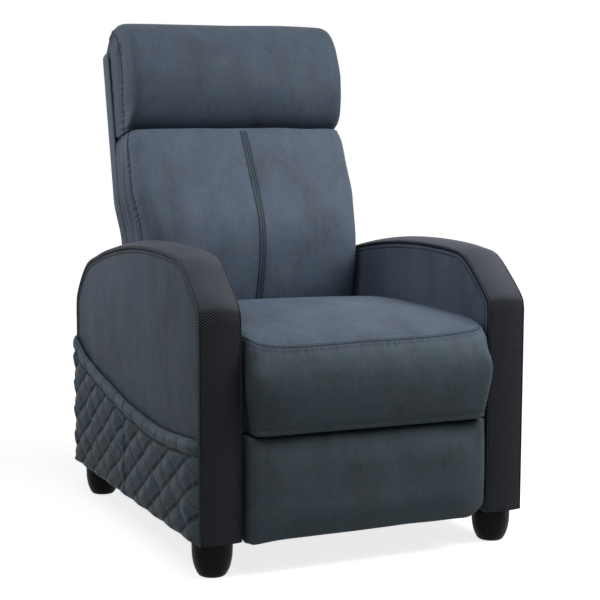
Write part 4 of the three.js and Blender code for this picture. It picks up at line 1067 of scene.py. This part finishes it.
class RECLINER_OT_back_cover(bpy.types.Operator):
    """Cover over the back's shell, sewn down both rear corners"""

    bl_idname = "recliner.back_cover"
    bl_label = "Back cover"

    def execute(self, context):
        s = sizes()
        corner, edge_roll, shoulder_roll, depth = 24, 3, 15, 5.0
        turn = np.linspace(0, math.pi / 2, 9)
        bend = np.column_stack([-SHELL_HALF + corner * (1 - np.cos(turn)), corner * (1 - np.sin(turn))])
        flank = np.array([(-SHELL_HALF, 60), (-SHELL_HALF, 50), (-SHELL_HALF, 38)])
        flat_half = SHELL_HALF - corner
        rear_face = np.column_stack([np.linspace(-flat_half, flat_half, 78)[1:-1], np.zeros(76)])
        plan = np.concatenate([flank, bend, rear_face, (bend * (-1, 1))[::-1], (flank * (-1, 1))[::-1]])
        levels = np.concatenate([[138, 138.6, 140, 143], np.linspace(147, 728, 96), [732, 735, 736.6, 737.4]])
        run = np.concatenate([[0], np.cumsum(np.linalg.norm(np.diff(plan, axis=0), axis=1))])
        ahead = np.gradient(plan, run, axis=0)
        outward = np.column_stack([ahead[:, 1], -ahead[:, 0]])
        grid_run, grid_up = np.meshgrid(run, levels)
        edge = np.minimum.reduce([
            grid_up - COVER_FOOT, COVER_TOP - grid_up, grid_run + 4, run[-1] - grid_run + 4])
        roll = rounded(edge_roll - edge, edge_roll)
        flat = np.column_stack([grid_run.ravel(), grid_up.ravel()])
        rear = ease(90, 140, flat[:, 0]) * ease(90, 140, run[-1] - flat[:, 0])
        crown = 3 * rear + 1.1 * waves(flat, 170, s.seed + 21) * rear
        seams = [np.full(len(levels), place) for place in (run[14], run[-15])]
        dip = np.zeros(len(flat))
        shade = np.zeros(len(flat))
        for seam in seams:
            gap = np.abs(flat[:, 0] - seam[0])
            dip -= 2.2 * np.exp(-((gap / 3) ** 2))
            shade = np.maximum(shade, np.exp(-((gap / 2.6) ** 2)))
        outer_shift = -1.2 + crown + dip - roll.ravel()
        columns, rows = len(run), len(levels)
        out = np.tile(outward, (rows, 1))
        shoulder = rounded(flat[:, 1] - (COVER_TOP - shoulder_roll), shoulder_roll)
        base = np.tile(plan, (rows, 1)) - out * shoulder[:, None]
        base[:, 0] *= wider(flat[:, 1])
        outer = base + out * outer_shift[:, None]
        inner = base - out * depth
        height = flat[:, 1] + raised(base[:, 0], flat[:, 1])
        local = np.concatenate([np.column_stack([p, height]) for p in (outer, inner)]) * MM
        cover = piece("back_cover", from_back(local), slab_faces(rows, columns), main_leather())
        mark(cover, "seam", np.concatenate([0.8 * shade, np.zeros(len(flat))]))
        lines = []
        for k in (12, -13):
            place = plan[k] + outward[k] * 0.6
            line = np.column_stack([np.tile(place, (200, 1)), np.linspace(146, 718, 200)])
            line[:, 0] *= wider(line[:, 2])
            line[:, 2] += raised(line[:, 0], line[:, 2])
            lines.append(from_back(line * MM))
        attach(cover, "back")
        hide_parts("back_shell")
        stitched("back_cover_stitches", "back", lines)
        return {"FINISHED"}


class RECLINER_OT_back_skirt(bpy.types.Operator):
    """Skirt that hangs from the back cover's foot past the hinge, hemmed at its lower edge"""

    bl_idname = "recliner.back_skirt"
    bl_label = "Back skirt"

    def execute(self, context):
        half, drop, skirt_roll, hem = 220, 100, 2.4, 88
        x = np.concatenate([[-220, -219.5, -218, -215], np.linspace(-210, 210, 60), [215, 218, 219.5, 220]])
        z = np.concatenate([[-100, -99.5, -98, -95], np.linspace(-90, 130, 34), [137, 141, 144]])
        across, level = np.meshgrid(x, z)
        edge = np.minimum.reduce([across + half, half - across, level + drop])
        roll = rounded(skirt_roll - edge, skirt_roll)
        flat = np.column_stack([across.ravel(), level.ravel()])
        hang = 0.9 * waves(flat * (1, 0.35), 90, sizes().seed + 31) * (1 - ease(60, 140, flat[:, 1]))
        gap = np.abs(flat[:, 1] + hem)
        dip = -1.1 * np.exp(-((gap / 2.5) ** 2))
        face = np.column_stack([flat[:, 0], 1.0 + roll.ravel() - hang - dip, flat[:, 1]])
        behind = np.column_stack([flat[:, 0], np.full(len(flat), 5.6), flat[:, 1]])
        skirt = piece("back_skirt", from_back(np.concatenate([face, behind]) * MM), slab_faces(*across.shape),
                      main_leather())
        # Painted shade along the hem's dip
        mark(skirt, "seam", np.concatenate([np.exp(-((gap / 2) ** 2)), np.zeros(len(flat))]))
        row = from_back([(v * MM, -0.1 * MM, -84 * MM) for v in np.linspace(-214, 214, 160)])
        stitched("back_skirt_stitches", "back", [row])
        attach(skirt, "back")
        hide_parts("back_shell")
        return {"FINISHED"}


class RECLINER_OT_gusset(bpy.types.Operator):
    """Cloth gusset that closes the gap between the seat and the foot of the back"""

    bl_idname = "recliner.gusset"
    bl_label = "Gusset"

    def execute(self, context):
        step, width, thickness = 4 * MM, 410 * MM, 1.4 * MM
        path = evenly(drawn([(46, 352), (70, 342), (100, 341), (128, 352), (146, 366)], 8) * MM, step)
        ahead = np.gradient(path, axis=0)
        over = np.column_stack([-ahead[:, 1], ahead[:, 0]]) / np.linalg.norm(ahead, axis=1)[:, None]
        across = np.linspace(-width / 2, width / 2, 83)
        grid = np.repeat(np.arange(len(path)), len(across))
        x = np.tile(across, len(path))
        sag = 1.5 * MM * waves(np.column_stack([x, path[grid, 0]]), 70 * MM, sizes().seed + 71)
        sag *= ease(0, 20 * MM, np.minimum(grid * step, (len(path) - 1 - grid) * step))
        faces = [np.column_stack([x, path[grid] + over[grid] * (sag + side)[:, None]])
                 for side in (thickness / 2, -thickness / 2)]
        gusset = piece("seat_gusset", np.concatenate(faces), slab_faces(len(path), len(across)), lining())
        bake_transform(gusset)
        return {"FINISHED"}


# Footrest

class RECLINER_OT_footrest(bpy.types.Operator):
    """Footrest pad"""

    bl_idname = "recliner.footrest"
    bl_label = "Footrest pad"

    def execute(self, context):
        s = sizes()
        low, high = (np.array(v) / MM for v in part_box("footrest_cushion"))
        turn = np.linspace(0, math.pi / 2, 6)
        radius, bow, fullness, rounding, room = 5, 2, 2.5, 10, 255.5 * MM
        front, rear, foot, top = low[1] + bow, high[1], low[2] - 1, high[2] + fullness
        face = np.column_stack([front - bow * np.sin(np.linspace(0.2, math.pi - 0.2, 9)),
                                np.linspace(foot + 20, top - 20, 9)])
        outline = np.concatenate([
            [(rear, foot)],
            np.column_stack([front + radius * (1 - np.sin(turn)), foot + radius * (1 - np.cos(turn))]), face,
            np.column_stack([front + radius * (1 - np.cos(turn)), top - radius * (1 - np.sin(turn))]),
            [(rear, top)]])
        pad = stuffed("footrest_pad", outline, high[0] + fullness, rounding, (rear, top), lambda p: p * MM,
                      main_leather())
        even_mesh(pad, s.voxel, 4)
        held = (places(pad.data)[:, 1] / MM > rear - 14).astype(float)
        filled(pad, held, 2 * MM, 9 * MM, 40)
        points = places(pad.data)
        # The lower corner at the sitter's left is tucked up, as its cover is pulled round the board
        tuck = ease(195, 252, points[:, 0] / MM) ** 2
        points[:, 2] += 27 * MM * tuck * (1 - ease(foot, foot + 95, points[:, 2] / MM))
        points[:, 0] = points[:, 0].clip(-room, room)
        points[:, 1] = np.maximum(points[:, 1], (front - bow - 6) * MM)
        points[:, 2] = points[:, 2].clip((foot - 3) * MM, (top + 3) * MM)
        move_to(pad.data, points)
        finer(pad)
        points, normals = places(pad.data), places(pad.data, "normal")
        move_to(pad.data, points + normals * (0.6 * MM * waves(points / MM, 100, s.seed + 41))[:, None])
        tree = surface_of(pad)
        loop = [(-x, z) for x, z in ((0, foot + 4), (226, foot + 4), (240, foot + 14), (243, foot + 40),
                                     (243, top - 40), (240, top - 14), (226, top - 4), (0, top - 4))]
        loop += [(-x, z) for x, z in loop[::-1][1:]]
        seam = laid(tree, evenly(np.array([(x, rear - 7, z) for x, z in loop]) * MM, 6 * MM))
        sewn(pad, [(seam, 1.6 * MM, 0.4 * MM, 13 * MM, 7 * MM)])
        # Painted shade: the whole pad gets the darker, warmer cast
        mark(pad, "dull", np.ones(len(pad.data.vertices)))
        tree = surface_of(pad)
        stitched("footrest_stitches", "footrest", [laid(tree, evenly(seam, 3 * MM), 0.2 * MM)])
        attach(pad, "footrest")
        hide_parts("footrest_cushion")
        return {"FINISHED"}


# Arms

def arm_top(y, table=ARM_EDGE):
    """Height of the arm's top edge, or the pocket's, at each distance back from the arm's front."""
    line = drawn(table, 12) * (ARM_LENGTH, ARM_RISE)
    return ARM_FOOT + np.interp(y, line[:, 0], line[:, 1])


def inset_top(y, inset):
    """Height of the arm's edge drawn in by a distance."""
    if inset == 0:
        return arm_top(y)
    shift = np.linspace(-1, 1, 25) * inset
    heights = arm_top(np.clip(y[:, None] + shift, 0, ARM_LENGTH)) - np.sqrt(inset**2 - shift**2)
    return heights.min(1)


def inset_path(inset, foot=0.0):
    """The arm's edge drawn in by a distance: up its front, over and down its rear."""
    y = np.linspace(inset, ARM_LENGTH - inset, 260)
    top = inset_top(y, inset)
    rise = np.linspace(ARM_FOOT + foot, top[0], 60)[:-1]
    fall = np.linspace(top[-1], ARM_FOOT + foot, 60)[1:]
    return np.concatenate([
        np.column_stack([np.full(len(rise), inset), rise]), np.column_stack([y, top]),
        np.column_stack([np.full(len(fall), ARM_LENGTH - inset), fall])])


def spaced(low, high, count):
    """Places from low to high, close together near both ends."""
    close = np.array([0, 0.5, 1.4, 2.6, 4, 5.6, 6.8, 7.8, 8.6, 9.6, 11, 13, 16, 20]) * MM
    share = np.linspace(0, 1, count)[1:-1]
    gap = close[-1]
    return np.concatenate([low + close, low + gap + share * (high - low - 2 * gap), high - close[::-1]])


def arm_pad(name, flat_x, face_x, bead, round_edge, material):
    """A padded panel of the arm and the line of its stitches.

    It lies flat against its board, with a bead along its edge, and is top-stitched inside the edge."""
    s = sizes()
    row_inset, row_width = 8.5 * MM, 1.6 * MM
    y = spaced(BAND_DEPTH, ARM_LENGTH - BAND_DEPTH, 96)
    top = inset_top(y, BAND_DEPTH)
    levels = [spaced(ARM_FOOT, t, 60) for t in top]
    z = np.array(levels).T
    grid_y = np.tile(y, (z.shape[0], 1))
    flat = np.column_stack([grid_y.ravel(), z.ravel()])
    edge = inset_path(BAND_DEPTH)
    gap, run = near(flat, np.concatenate([edge, edge[:1]]))
    fall = rounded(round_edge - gap, round_edge)
    row_gap = gap - row_inset
    puff = 1.6 * MM * (1 - np.exp(-((gap / (60 * MM)) ** 2)))
    puff += bead * np.exp(-(((gap - 3.6 * MM) / (2.3 * MM)) ** 2))
    dip = 1.1 * MM * np.exp(-((row_gap / row_width) ** 2))
    pucker = 0.3 * MM * np.cos(2 * math.pi * run / (11 * MM)) * np.exp(-np.abs(row_gap) / (6 * MM))
    slack = 0.5 * MM * waves(flat, 130 * MM, s.seed + 51) * ease(0, 40 * MM, gap)
    sign = 1 if face_x > flat_x else -1
    out = (puff - fall - dip + pucker + slack).clip(-0.85 * abs(face_x - flat_x))
    front = np.column_stack([face_x + sign * out, flat[:, 0] + ARM_FRONT, flat[:, 1]])
    rear = np.column_stack([np.full(len(flat), flat_x), flat[:, 0] + ARM_FRONT, flat[:, 1]])
    pad = piece(name, np.concatenate([front, rear]), slab_faces(*z.shape), material)
    shade = 0.5 * np.maximum(np.exp(-((row_gap / row_width) ** 2)), np.exp(-((gap / (1 * MM)) ** 2)))
    mark(pad, "seam", np.concatenate([shade, np.zeros(len(flat))]))
    row = inset_path(BAND_DEPTH + row_inset, 10 * MM)
    line = np.column_stack([np.full(len(row), face_x - sign * 0.9 * MM), row[:, 0] + ARM_FRONT, row[:, 1]])
    return pad, laid(surface_of(pad), evenly(line, 3 * MM), 0.3 * MM)


class RECLINER_OT_arm_panels(bpy.types.Operator):
    """Padded inner and outer panels of both arms"""

    bl_idname = "recliner.arm_panels"
    bl_label = "Arm panels"

    def execute(self, context):
        lines = []
        outer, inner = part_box("left_arm_outer_panel"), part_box("left_arm_inner_panel")
        for node, flat_x, face_x, bead, round_edge in (
            ("arm_outer_panel", outer[0].x, outer[1].x, 3 * MM, 6 * MM),
            ("arm_inner_panel", inner[1].x, inner[0].x, 0, 3.5 * MM),
        ):
            left, line = arm_pad(f"left_{node}_cover", flat_x, face_x, bead, round_edge, main_leather())
            right = other_side(left, f"right_{node}_cover")
            lines += [line, line * (-1, 1, 1)]
            for side, obj in (("left", left), ("right", right)):
                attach(obj, "base")
                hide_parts(f"{side}_{node}")
        stitched("arm_stitches", "base", lines)
        return {"FINISHED"}


class RECLINER_OT_arm_bands(bpy.types.Operator):
    """Crowned twill bands round both arms, piped along both edges"""

    bl_idname = "recliner.arm_bands"
    bl_label = "Arm bands"

    def execute(self, context):
        s = sizes()
        path = evenly(inset_path(0), 5 * MM)
        ahead = np.gradient(path, axis=0)
        for _ in range(3):
            ahead[1:-1] = (ahead[:-2] + 2 * ahead[1:-1] + ahead[2:]) / 4
        ahead /= np.linalg.norm(ahead, axis=1)[:, None]
        outward = np.column_stack([-ahead[:, 1], ahead[:, 0]])
        # The band is crowned more over the arm than down its front; shares run from -1 to 1 across it
        crown = (5.5 + 5 * ease(0, 1, outward[:, 1])) * MM
        half = (ARM_OUTER - ARM_INNER) / 2
        close = np.linspace(0.9, 1, 12)
        share = np.concatenate([-close[::-1], np.linspace(-0.87, 0.87, 17), close])
        from_middle = np.abs(share)
        piping, seam, abrasion_and_highlight = 0.972, 0.925, 0.965
        rolled = 1.3 * np.exp(-(((from_middle - piping) / 0.02) ** 2))
        rolled = rolled - np.exp(-(((from_middle - seam) / 0.016) ** 2)) - 1.6 * ease(0.985, 1, from_middle)
        run = np.concatenate([[0], np.cumsum(np.linalg.norm(np.diff(path, axis=0), axis=1))])
        rings, uv, shade = [], [], []
        for p, n, c, v in zip(path, outward, crown, run):
            rise = c * (1 - share**2) + rolled * MM
            spot = p + n * rise[:, None]
            ring = np.column_stack([ARM_MIDDLE + share * half, spot])
            foot = p - n * (BAND_DEPTH - 0.3 * MM)
            ends = np.array([(ARM_OUTER, *foot), (ARM_INNER, *foot)])
            rings.append(np.concatenate([ring, ends]))
            uv.append(np.column_stack([np.append(share, (1, -1)) * -half, np.full(len(share) + 2, v)]))
            shade.append(np.append(0.4 * np.exp(-(((from_middle - seam) / 0.014) ** 2)), (0, 0)))
        points = np.concatenate(rings)
        points[:, 1] += ARM_FRONT
        band = piece("left_arm_band_cover", points, loft_faces(len(rings), len(share) + 2),
                     twill("Coated twill", tuple(colours().band), tuple(colours().band_rib), s.rib_pitch),
                     np.concatenate(uv))
        mark(band, "seam", np.concatenate(shade))
        # Painted highlight: a pale line along the piping near both edges of the band
        rim = np.append(np.exp(-(((from_middle - abrasion_and_highlight) / 0.025) ** 2)), (0, 0))
        mark(band, "rubbed", np.tile(rim, len(rings)))
        twin = other_side(band, "right_arm_band_cover")
        # The twill is cut from one roll, so that its ribs fall the same way on both arms
        along = twin.data.uv_layers["Along"].data
        for place in along:
            place.uv[0] = -place.uv[0]
        for side, obj in (("left", band), ("right", twin)):
            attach(obj, "base")
            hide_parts(f"{side}_arm_band")
        return {"FINISHED"}


def quilt_rows(outside, lane):
    """Lines at that place across the chair, on both sides of each rising seam of the left pocket."""
    s = sizes()
    rows = []
    across = np.linspace(16 * MM, ARM_LENGTH - 12 * MM, 400)
    for count in range(-5, 9):
        for offset in (-3.6 * MM, 3.6 * MM):
            level = ((across + offset * s.quilt_width / lane) / s.quilt_width - count) * s.quilt_height
            kept = (level > 12 * MM) & (level + ARM_FOOT < arm_top(across, POCKET_EDGE) - s.hem - 6 * MM)
            if kept.sum() > 8:
                rows.append(np.column_stack([
                    np.full(kept.sum(), outside), across[kept] + ARM_FRONT, level[kept] + ARM_FOOT]))
    return rows


class RECLINER_OT_side_pockets(bpy.types.Operator):
    """Quilted side pockets with a padded hem along the mouth"""

    bl_idname = "recliner.side_pockets"
    bl_label = "Side pockets"

    def execute(self, context):
        s = sizes()
        columns, rows = 330, 140
        y = np.tile(np.linspace(0, ARM_LENGTH, columns), (rows, 1))
        top = arm_top(y[0], POCKET_EDGE)
        z = ARM_FOOT + np.linspace(0, 1, rows)[:, None] * (top - ARM_FOOT)
        below = (top - z).ravel()
        y, z = y.ravel(), z.ravel()
        rise = z - ARM_FOOT
        lane = 1 / math.hypot(1 / s.quilt_width, 1 / s.quilt_height)
        falling = y / s.quilt_width + rise / s.quilt_height
        rising = y / s.quilt_width - rise / s.quilt_height
        falling_gap = np.abs(falling - np.round(falling)) * lane
        rising_gap = np.abs(rising - np.round(rising)) * lane
        # The falling seams are deep and the rising ones shallow, and short pleats run out of both
        puff = (falling_gap / (0.5 * lane)).clip(0, 1) ** 0.45
        puff = puff * (1 - 0.45 * np.exp(-((rising_gap / (6 * MM)) ** 2)))
        pleat = 0.3 * MM * np.cos(2 * math.pi * falling * 4) * np.exp(-rising_gap / (9 * MM))
        pleat += 0.6 * MM * np.cos(2 * math.pi * rising * 4) * np.exp(-falling_gap / (7 * MM))
        quilt = s.quilt_loft * puff + pleat
        joint = 405 * MM
        seam_gap = np.abs(y - joint)
        quilt -= 4 * MM * np.exp(-((seam_gap / (4 * MM)) ** 2))
        hem_share = np.clip(below / s.hem, 0, 1)
        run = y - 0.3 * below + 7 * MM * waves(np.column_stack([y, y * 0]), 150 * MM, s.seed + 61)
        tuck = np.abs((run / s.hem_puff) - np.round(run / s.hem_puff)) * s.hem_puff
        hem = (8 * MM - 3 * MM * np.exp(-tuck / (5 * MM))) * np.sin(math.pi * hem_share) ** 0.5
        in_hem = 1 - ease(s.hem - 3 * MM, s.hem + 1 * MM, below)
        height = hem * in_hem + quilt * (1 - in_hem) * ease(0, 7 * MM, below - s.hem)
        edge = np.minimum.reduce([y, ARM_LENGTH - y, rise])
        height += 1.2 * MM * waves(np.column_stack([y, z]), 70 * MM, s.seed + 63) * ease(0, 20 * MM, edge)
        # It stands off the arm's panel, except along its edges, where it curls in to be sewn down
        cloth = 345.2 * MM + height
        pad_face = 337.4 * MM
        edge_curl, front_curl, sewn_down = 18 * MM, 36 * MM, 0.6 * MM
        curl = np.sqrt(np.clip(1 - ((edge_curl - edge) / edge_curl).clip(0, 1) ** 2, 0, 1))
        curl = np.minimum(curl, 1 - (1 - (y / front_curl).clip(0, 1)) ** 1.35)
        face = pad_face + sewn_down + (cloth - pad_face - sewn_down) * curl
        hollow = pad_face + 6 * MM * ease(7 * MM, 12 * MM, edge)
        face = np.maximum(face, hollow + 0.9 * MM)
        lobe = ease(0, 1, height / s.quilt_loft) * (1 - ease(0, 12 * MM, ARM_LENGTH - y)) * 5 * MM
        outer = np.column_stack([face, y + lobe + ARM_FRONT, z])
        inner = np.column_stack([hollow, y + ARM_FRONT, z])
        pocket = piece("left_side_pocket_cover", np.concatenate([outer, inner]), slab_faces(rows, columns),
                       leather("Quilted split leather", tuple(colours().quilt), 0.7))
        # Painted shade in the quilting's grooves, along the hem's lower edge, in its pleats, along the joint
        # and round the pocket's edges
        shade = np.maximum.reduce([
            np.exp(-((falling_gap / (5.5 * MM)) ** 2)) * (1 - in_hem),
            0.35 * np.exp(-((rising_gap / (4 * MM)) ** 2)) * (1 - in_hem),
            np.exp(-(((below - s.hem) / (2.4 * MM)) ** 2)),
            0.6 * np.exp(-((tuck / (2 * MM)) ** 2)) * in_hem,
            np.exp(-((seam_gap / (2.4 * MM)) ** 2)),
            0.8 * np.exp(-((edge / (3 * MM)) ** 2))])
        mark(pocket, "seam", np.concatenate([shade, np.zeros(len(shade))]))
        # Painted highlights along the top of the hem and beside the quilting's deep grooves
        rubbed = 0.45 * in_hem * np.exp(-(((below - 9 * MM) / (5 * MM)) ** 2))
        rubbed += 0.2 * (1 - in_hem) * np.exp(-(((falling_gap - 8 * MM) / (2.6 * MM)) ** 2))
        mark(pocket, "rubbed", np.concatenate([rubbed * (1 - shade), np.zeros(len(shade))]))
        tree = surface_of(pocket)
        # Rows of stitches are drawn beside the pocket and cast onto it: under the hem and beside its joint
        outside, lift, beside_joint = 0.36, (0.3 * MM, 0, 0), joint - 6 * MM
        along = np.linspace(14 * MM, ARM_LENGTH - 14 * MM, 260)
        rim = arm_top(along, POCKET_EDGE) - s.hem - 3.4 * MM
        line = np.column_stack([np.full(len(along), outside), along + ARM_FRONT, rim])
        mouth = arm_top(np.array([beside_joint]), POCKET_EDGE)[0]
        down = np.linspace(ARM_FOOT + 12 * MM, mouth - s.hem, 90)
        seam = np.column_stack([np.full(90, outside), np.full(90, beside_joint + ARM_FRONT), down])
        stitch_rows = [cast(tree, evenly(v, 3 * MM), (-1, 0, 0)) + lift for v in (line, seam)]
        both = stitch_rows + [v * (-1, 1, 1) for v in stitch_rows]
        twin = other_side(pocket, "right_side_pocket_cover")
        stitched("pocket_stitches", "base", both)
        quilting = [cast(tree, evenly(v, 3 * MM), (-1, 0, 0)) + lift for v in quilt_rows(outside, lane)]
        quilting += [v * (-1, 1, 1) for v in quilting]
        stitched("quilt_stitches", "base", quilting, tint="quilt_thread")
        for side, obj in (("left", pocket), ("right", twin)):
            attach(obj, "base")
            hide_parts(f"{side}_side_pocket")
        return {"FINISHED"}


# Feet and frame

class RECLINER_OT_feet(bpy.types.Operator):
    """Moulded bun feet"""

    bl_idname = "recliner.feet"
    bl_label = "Feet"

    def execute(self, context):
        material = moulded_plastic()
        shares = ((0.56, 0), (0.62, 0.008), (0.7, 0.05), (0.79, 0.14), (0.9, 0.3), (0.975, 0.52), (1, 0.72),
                  (1, 0.93), (0.985, 0.97), (0.93, 1))
        profile = drawn(shares, 5)
        around, radius, height, stud_radius, stud_top = 64, 37.5, 65.7, 5, 95
        turn = np.linspace(0, 2 * math.pi, around, endpoint=False)
        for node in ("left_front_foot", "left_rear_foot", "right_front_foot", "right_rear_foot"):
            low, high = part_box(node)
            x, y = (low.x + high.x) / 2, (low.y + high.y) / 2
            turned = [(radius * MM * r, height * MM * z) for r, z in profile]
            turned += [(stud_radius * MM, height * MM), (stud_radius * MM, stud_top * MM)]
            rings = [np.column_stack([x + r * np.cos(turn), y + r * np.sin(turn), np.full(around, z)])
                     for r, z in turned]
            foot = piece(f"{node}_bun", np.concatenate(rings), loft_faces(len(rings), around), material)
            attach(foot, "base")
            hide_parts(node)
        return {"FINISHED"}


class RECLINER_OT_frame_finishes(bpy.types.Operator):
    """Finishes of the steel mechanism, the springs and the plywood frame"""

    bl_idname = "recliner.frame_finishes"
    bl_label = "Frame finishes"

    def execute(self, context):
        coat, wire, wood = powder_coat(), spring_wire(), plywood()
        wooden = ("rail", "arm_frame", "post")
        for name, obj in frame["nodes"].items():
            if obj.hide_render:
                continue
            if "spring" in name:
                material = wire
            elif name.startswith("seat_") or "seat_side" in name or name == "footrest_board":
                material = main_leather()
            elif any(word in name for word in wooden):
                material = wood
            else:
                material = coat
            for slot in obj.material_slots:
                slot.material = material
        return {"FINISHED"}


# Stage

def seen_white(tree):
    """1 where the camera, a reflection or light through glass sees the backdrop, and 0 where it lights."""
    path = add(tree, "ShaderNodeLightPath").outputs
    seen = add(tree, "ShaderNodeMath", {"operation": "MAXIMUM"}, {
        0: path["Is Camera Ray"], 1: path["Is Glossy Ray"]}).outputs[0]
    return add(tree, "ShaderNodeMath", {"operation": "MAXIMUM"}, {
        0: seen, 1: path["Is Transmission Ray"]}).outputs[0]


def floor_paint():
    """Matt white floor paint, rolled on; it reads as plain white with the chair's soft shadow.

    Its glow grows with distance, so that it ends white like the backdrop."""
    material = bpy.data.materials.new("Painted floor")
    material.use_nodes = True
    tree = material.node_tree
    tree.nodes.clear()
    paint = add(tree, "ShaderNodeBsdfDiffuse", inputs={"Color": (*colours().floor, 1)}).outputs[0]
    away = add(tree, "ShaderNodeVectorMath", {"operation": "LENGTH"}, {
        0: add(tree, "ShaderNodeTexCoord").outputs["Object"]}).outputs["Value"]
    rise = add(tree, "ShaderNodeMapRange", {"interpolation_type": "SMOOTHSTEP"}, {
        "Value": away, "From Min": 0.7, "From Max": 3.5, "To Min": 0.8, "To Max": 1}).outputs[0]
    glow = add(tree, "ShaderNodeEmission", inputs={"Color": (1, 1, 1, 1), "Strength": rise}).outputs[0]
    bright = add(tree, "ShaderNodeAddShader", inputs={0: paint, 1: glow}).outputs[0]
    # What it sends back up to the chair is dimmer than it looks, so that the undersides stay dark
    dim = add(tree, "ShaderNodeBsdfDiffuse", inputs={"Color": (0.3, 0.3, 0.3, 1)}).outputs[0]
    mixed = add(tree, "ShaderNodeMixShader", inputs={"Fac": seen_white(tree), 1: dim, 2: bright}).outputs[0]
    add(tree, "ShaderNodeOutputMaterial", inputs={"Surface": mixed})
    return material


def studio():
    """A white backdrop that gives the chair only a weak light from all round."""
    world = bpy.data.worlds.new("Studio")
    world.use_nodes = True
    tree = world.node_tree
    tree.nodes.clear()
    white = add(tree, "ShaderNodeBackground", inputs={"Color": (1, 1, 1, 1), "Strength": 1}).outputs[0]
    room = add(tree, "ShaderNodeBackground", inputs={
        "Color": (0.98, 0.99, 1, 1), "Strength": 0.09}).outputs[0]
    mixed = add(tree, "ShaderNodeMixShader", inputs={"Fac": seen_white(tree), 1: room, 2: white}).outputs[0]
    add(tree, "ShaderNodeOutputWorld", inputs={"Surface": mixed})
    return world


def hang_lamp(name, place, aim, size, power, beam):
    """A soft square lamp at the place, turned to what it is aimed at."""
    lamp = bpy.data.lights.new(name, "AREA")
    lamp.size = size
    lamp.energy = power
    lamp.spread = math.radians(beam)
    obj = bpy.data.objects.new(name, lamp)
    obj.location = place
    obj.rotation_euler = (Vector(aim) - Vector(place)).to_track_quat("-Z", "Y").to_euler()
    bpy.context.scene.collection.objects.link(obj)


def fitted_camera():
    """The camera at the photograph's viewing angle."""
    bearing, rise = math.radians(CAMERA_BEARING), math.radians(CAMERA_RISE)
    level = math.cos(rise)
    towards = Vector((math.sin(bearing) * level, -math.cos(bearing) * level, math.sin(rise)))
    lens = bpy.data.cameras.new("Camera")
    lens.lens = CAMERA_LENS
    lens.sensor_width = 36
    lens.shift_x, lens.shift_y = CAMERA_SHIFT
    camera = bpy.data.objects.new("Camera", lens)
    camera.location = Vector(CAMERA_TARGET) + towards * CAMERA_DISTANCE
    camera.rotation_euler = (-towards).to_track_quat("-Z", "Y").to_euler()
    bpy.context.scene.collection.objects.link(camera)
    return camera


class RECLINER_OT_stage(bpy.types.Operator):
    """Pale floor, soft studio light and the camera"""

    bl_idname = "recliner.stage"
    bl_label = "Stage"

    def execute(self, context):
        scene = context.scene
        mesh = bpy.data.meshes.new("floor")
        reach = 40
        mesh.from_pydata([(-reach, -reach, 0), (reach, -reach, 0), (reach, reach, 0), (-reach, reach, 0)],
                         [], [(0, 1, 2, 3)])
        floor = bpy.data.objects.new("floor", mesh)
        scene.collection.objects.link(floor)
        mesh.materials.append(floor_paint())
        scene.world = studio()
        for lamp in LAMPS:
            hang_lamp(*lamp)
        scene.view_settings.view_transform = "Standard"
        scene.camera = fitted_camera()
        return {"FINISHED"}


# Panel and start

PIECES = (
    RECLINER_OT_seat, RECLINER_OT_back, RECLINER_OT_headrest, RECLINER_OT_back_cover,
    RECLINER_OT_back_skirt, RECLINER_OT_gusset, RECLINER_OT_footrest, RECLINER_OT_arm_panels,
    RECLINER_OT_arm_bands, RECLINER_OT_side_pockets, RECLINER_OT_feet, RECLINER_OT_frame_finishes,
    RECLINER_OT_stage,
)


class RECLINER_PT_panel(bpy.types.Panel):
    """Lists the recliner's pieces with their sizes and colours"""

    bl_idname = "RECLINER_PT_panel"
    bl_label = "Recliner"
    bl_space_type = "VIEW_3D"
    bl_region_type = "UI"
    bl_category = "Recliner"

    def draw(self, context):
        for kind in PIECES:
            self.layout.operator(kind.bl_idname)
        for group in (context.scene.recliner_sizes, context.scene.recliner_colours):
            box = self.layout.box()
            for name in group.__annotations__:
                box.prop(group, name)


CLASSES = (ReclinerSizes, ReclinerColours, *PIECES, RECLINER_PT_panel)


def register():
    for kind in CLASSES:
        bpy.utils.register_class(kind)
    bpy.types.Scene.recliner_sizes = PointerProperty(type=ReclinerSizes)
    bpy.types.Scene.recliner_colours = PointerProperty(type=ReclinerColours)


def unregister():
    del bpy.types.Scene.recliner_colours
    del bpy.types.Scene.recliner_sizes
    for kind in reversed(CLASSES):
        bpy.utils.unregister_class(kind)


def main():
    register()
    bpy.ops.recliner.seat()
    bpy.ops.recliner.back()
    bpy.ops.recliner.headrest()
    bpy.ops.recliner.back_cover()
    bpy.ops.recliner.back_skirt()
    bpy.ops.recliner.gusset()
    bpy.ops.recliner.footrest()
    bpy.ops.recliner.arm_panels()
    bpy.ops.recliner.arm_bands()
    bpy.ops.recliner.side_pockets()
    bpy.ops.recliner.feet()
    bpy.ops.recliner.frame_finishes()
    bpy.ops.recliner.stage()


if __name__ == "__main__":
    main()
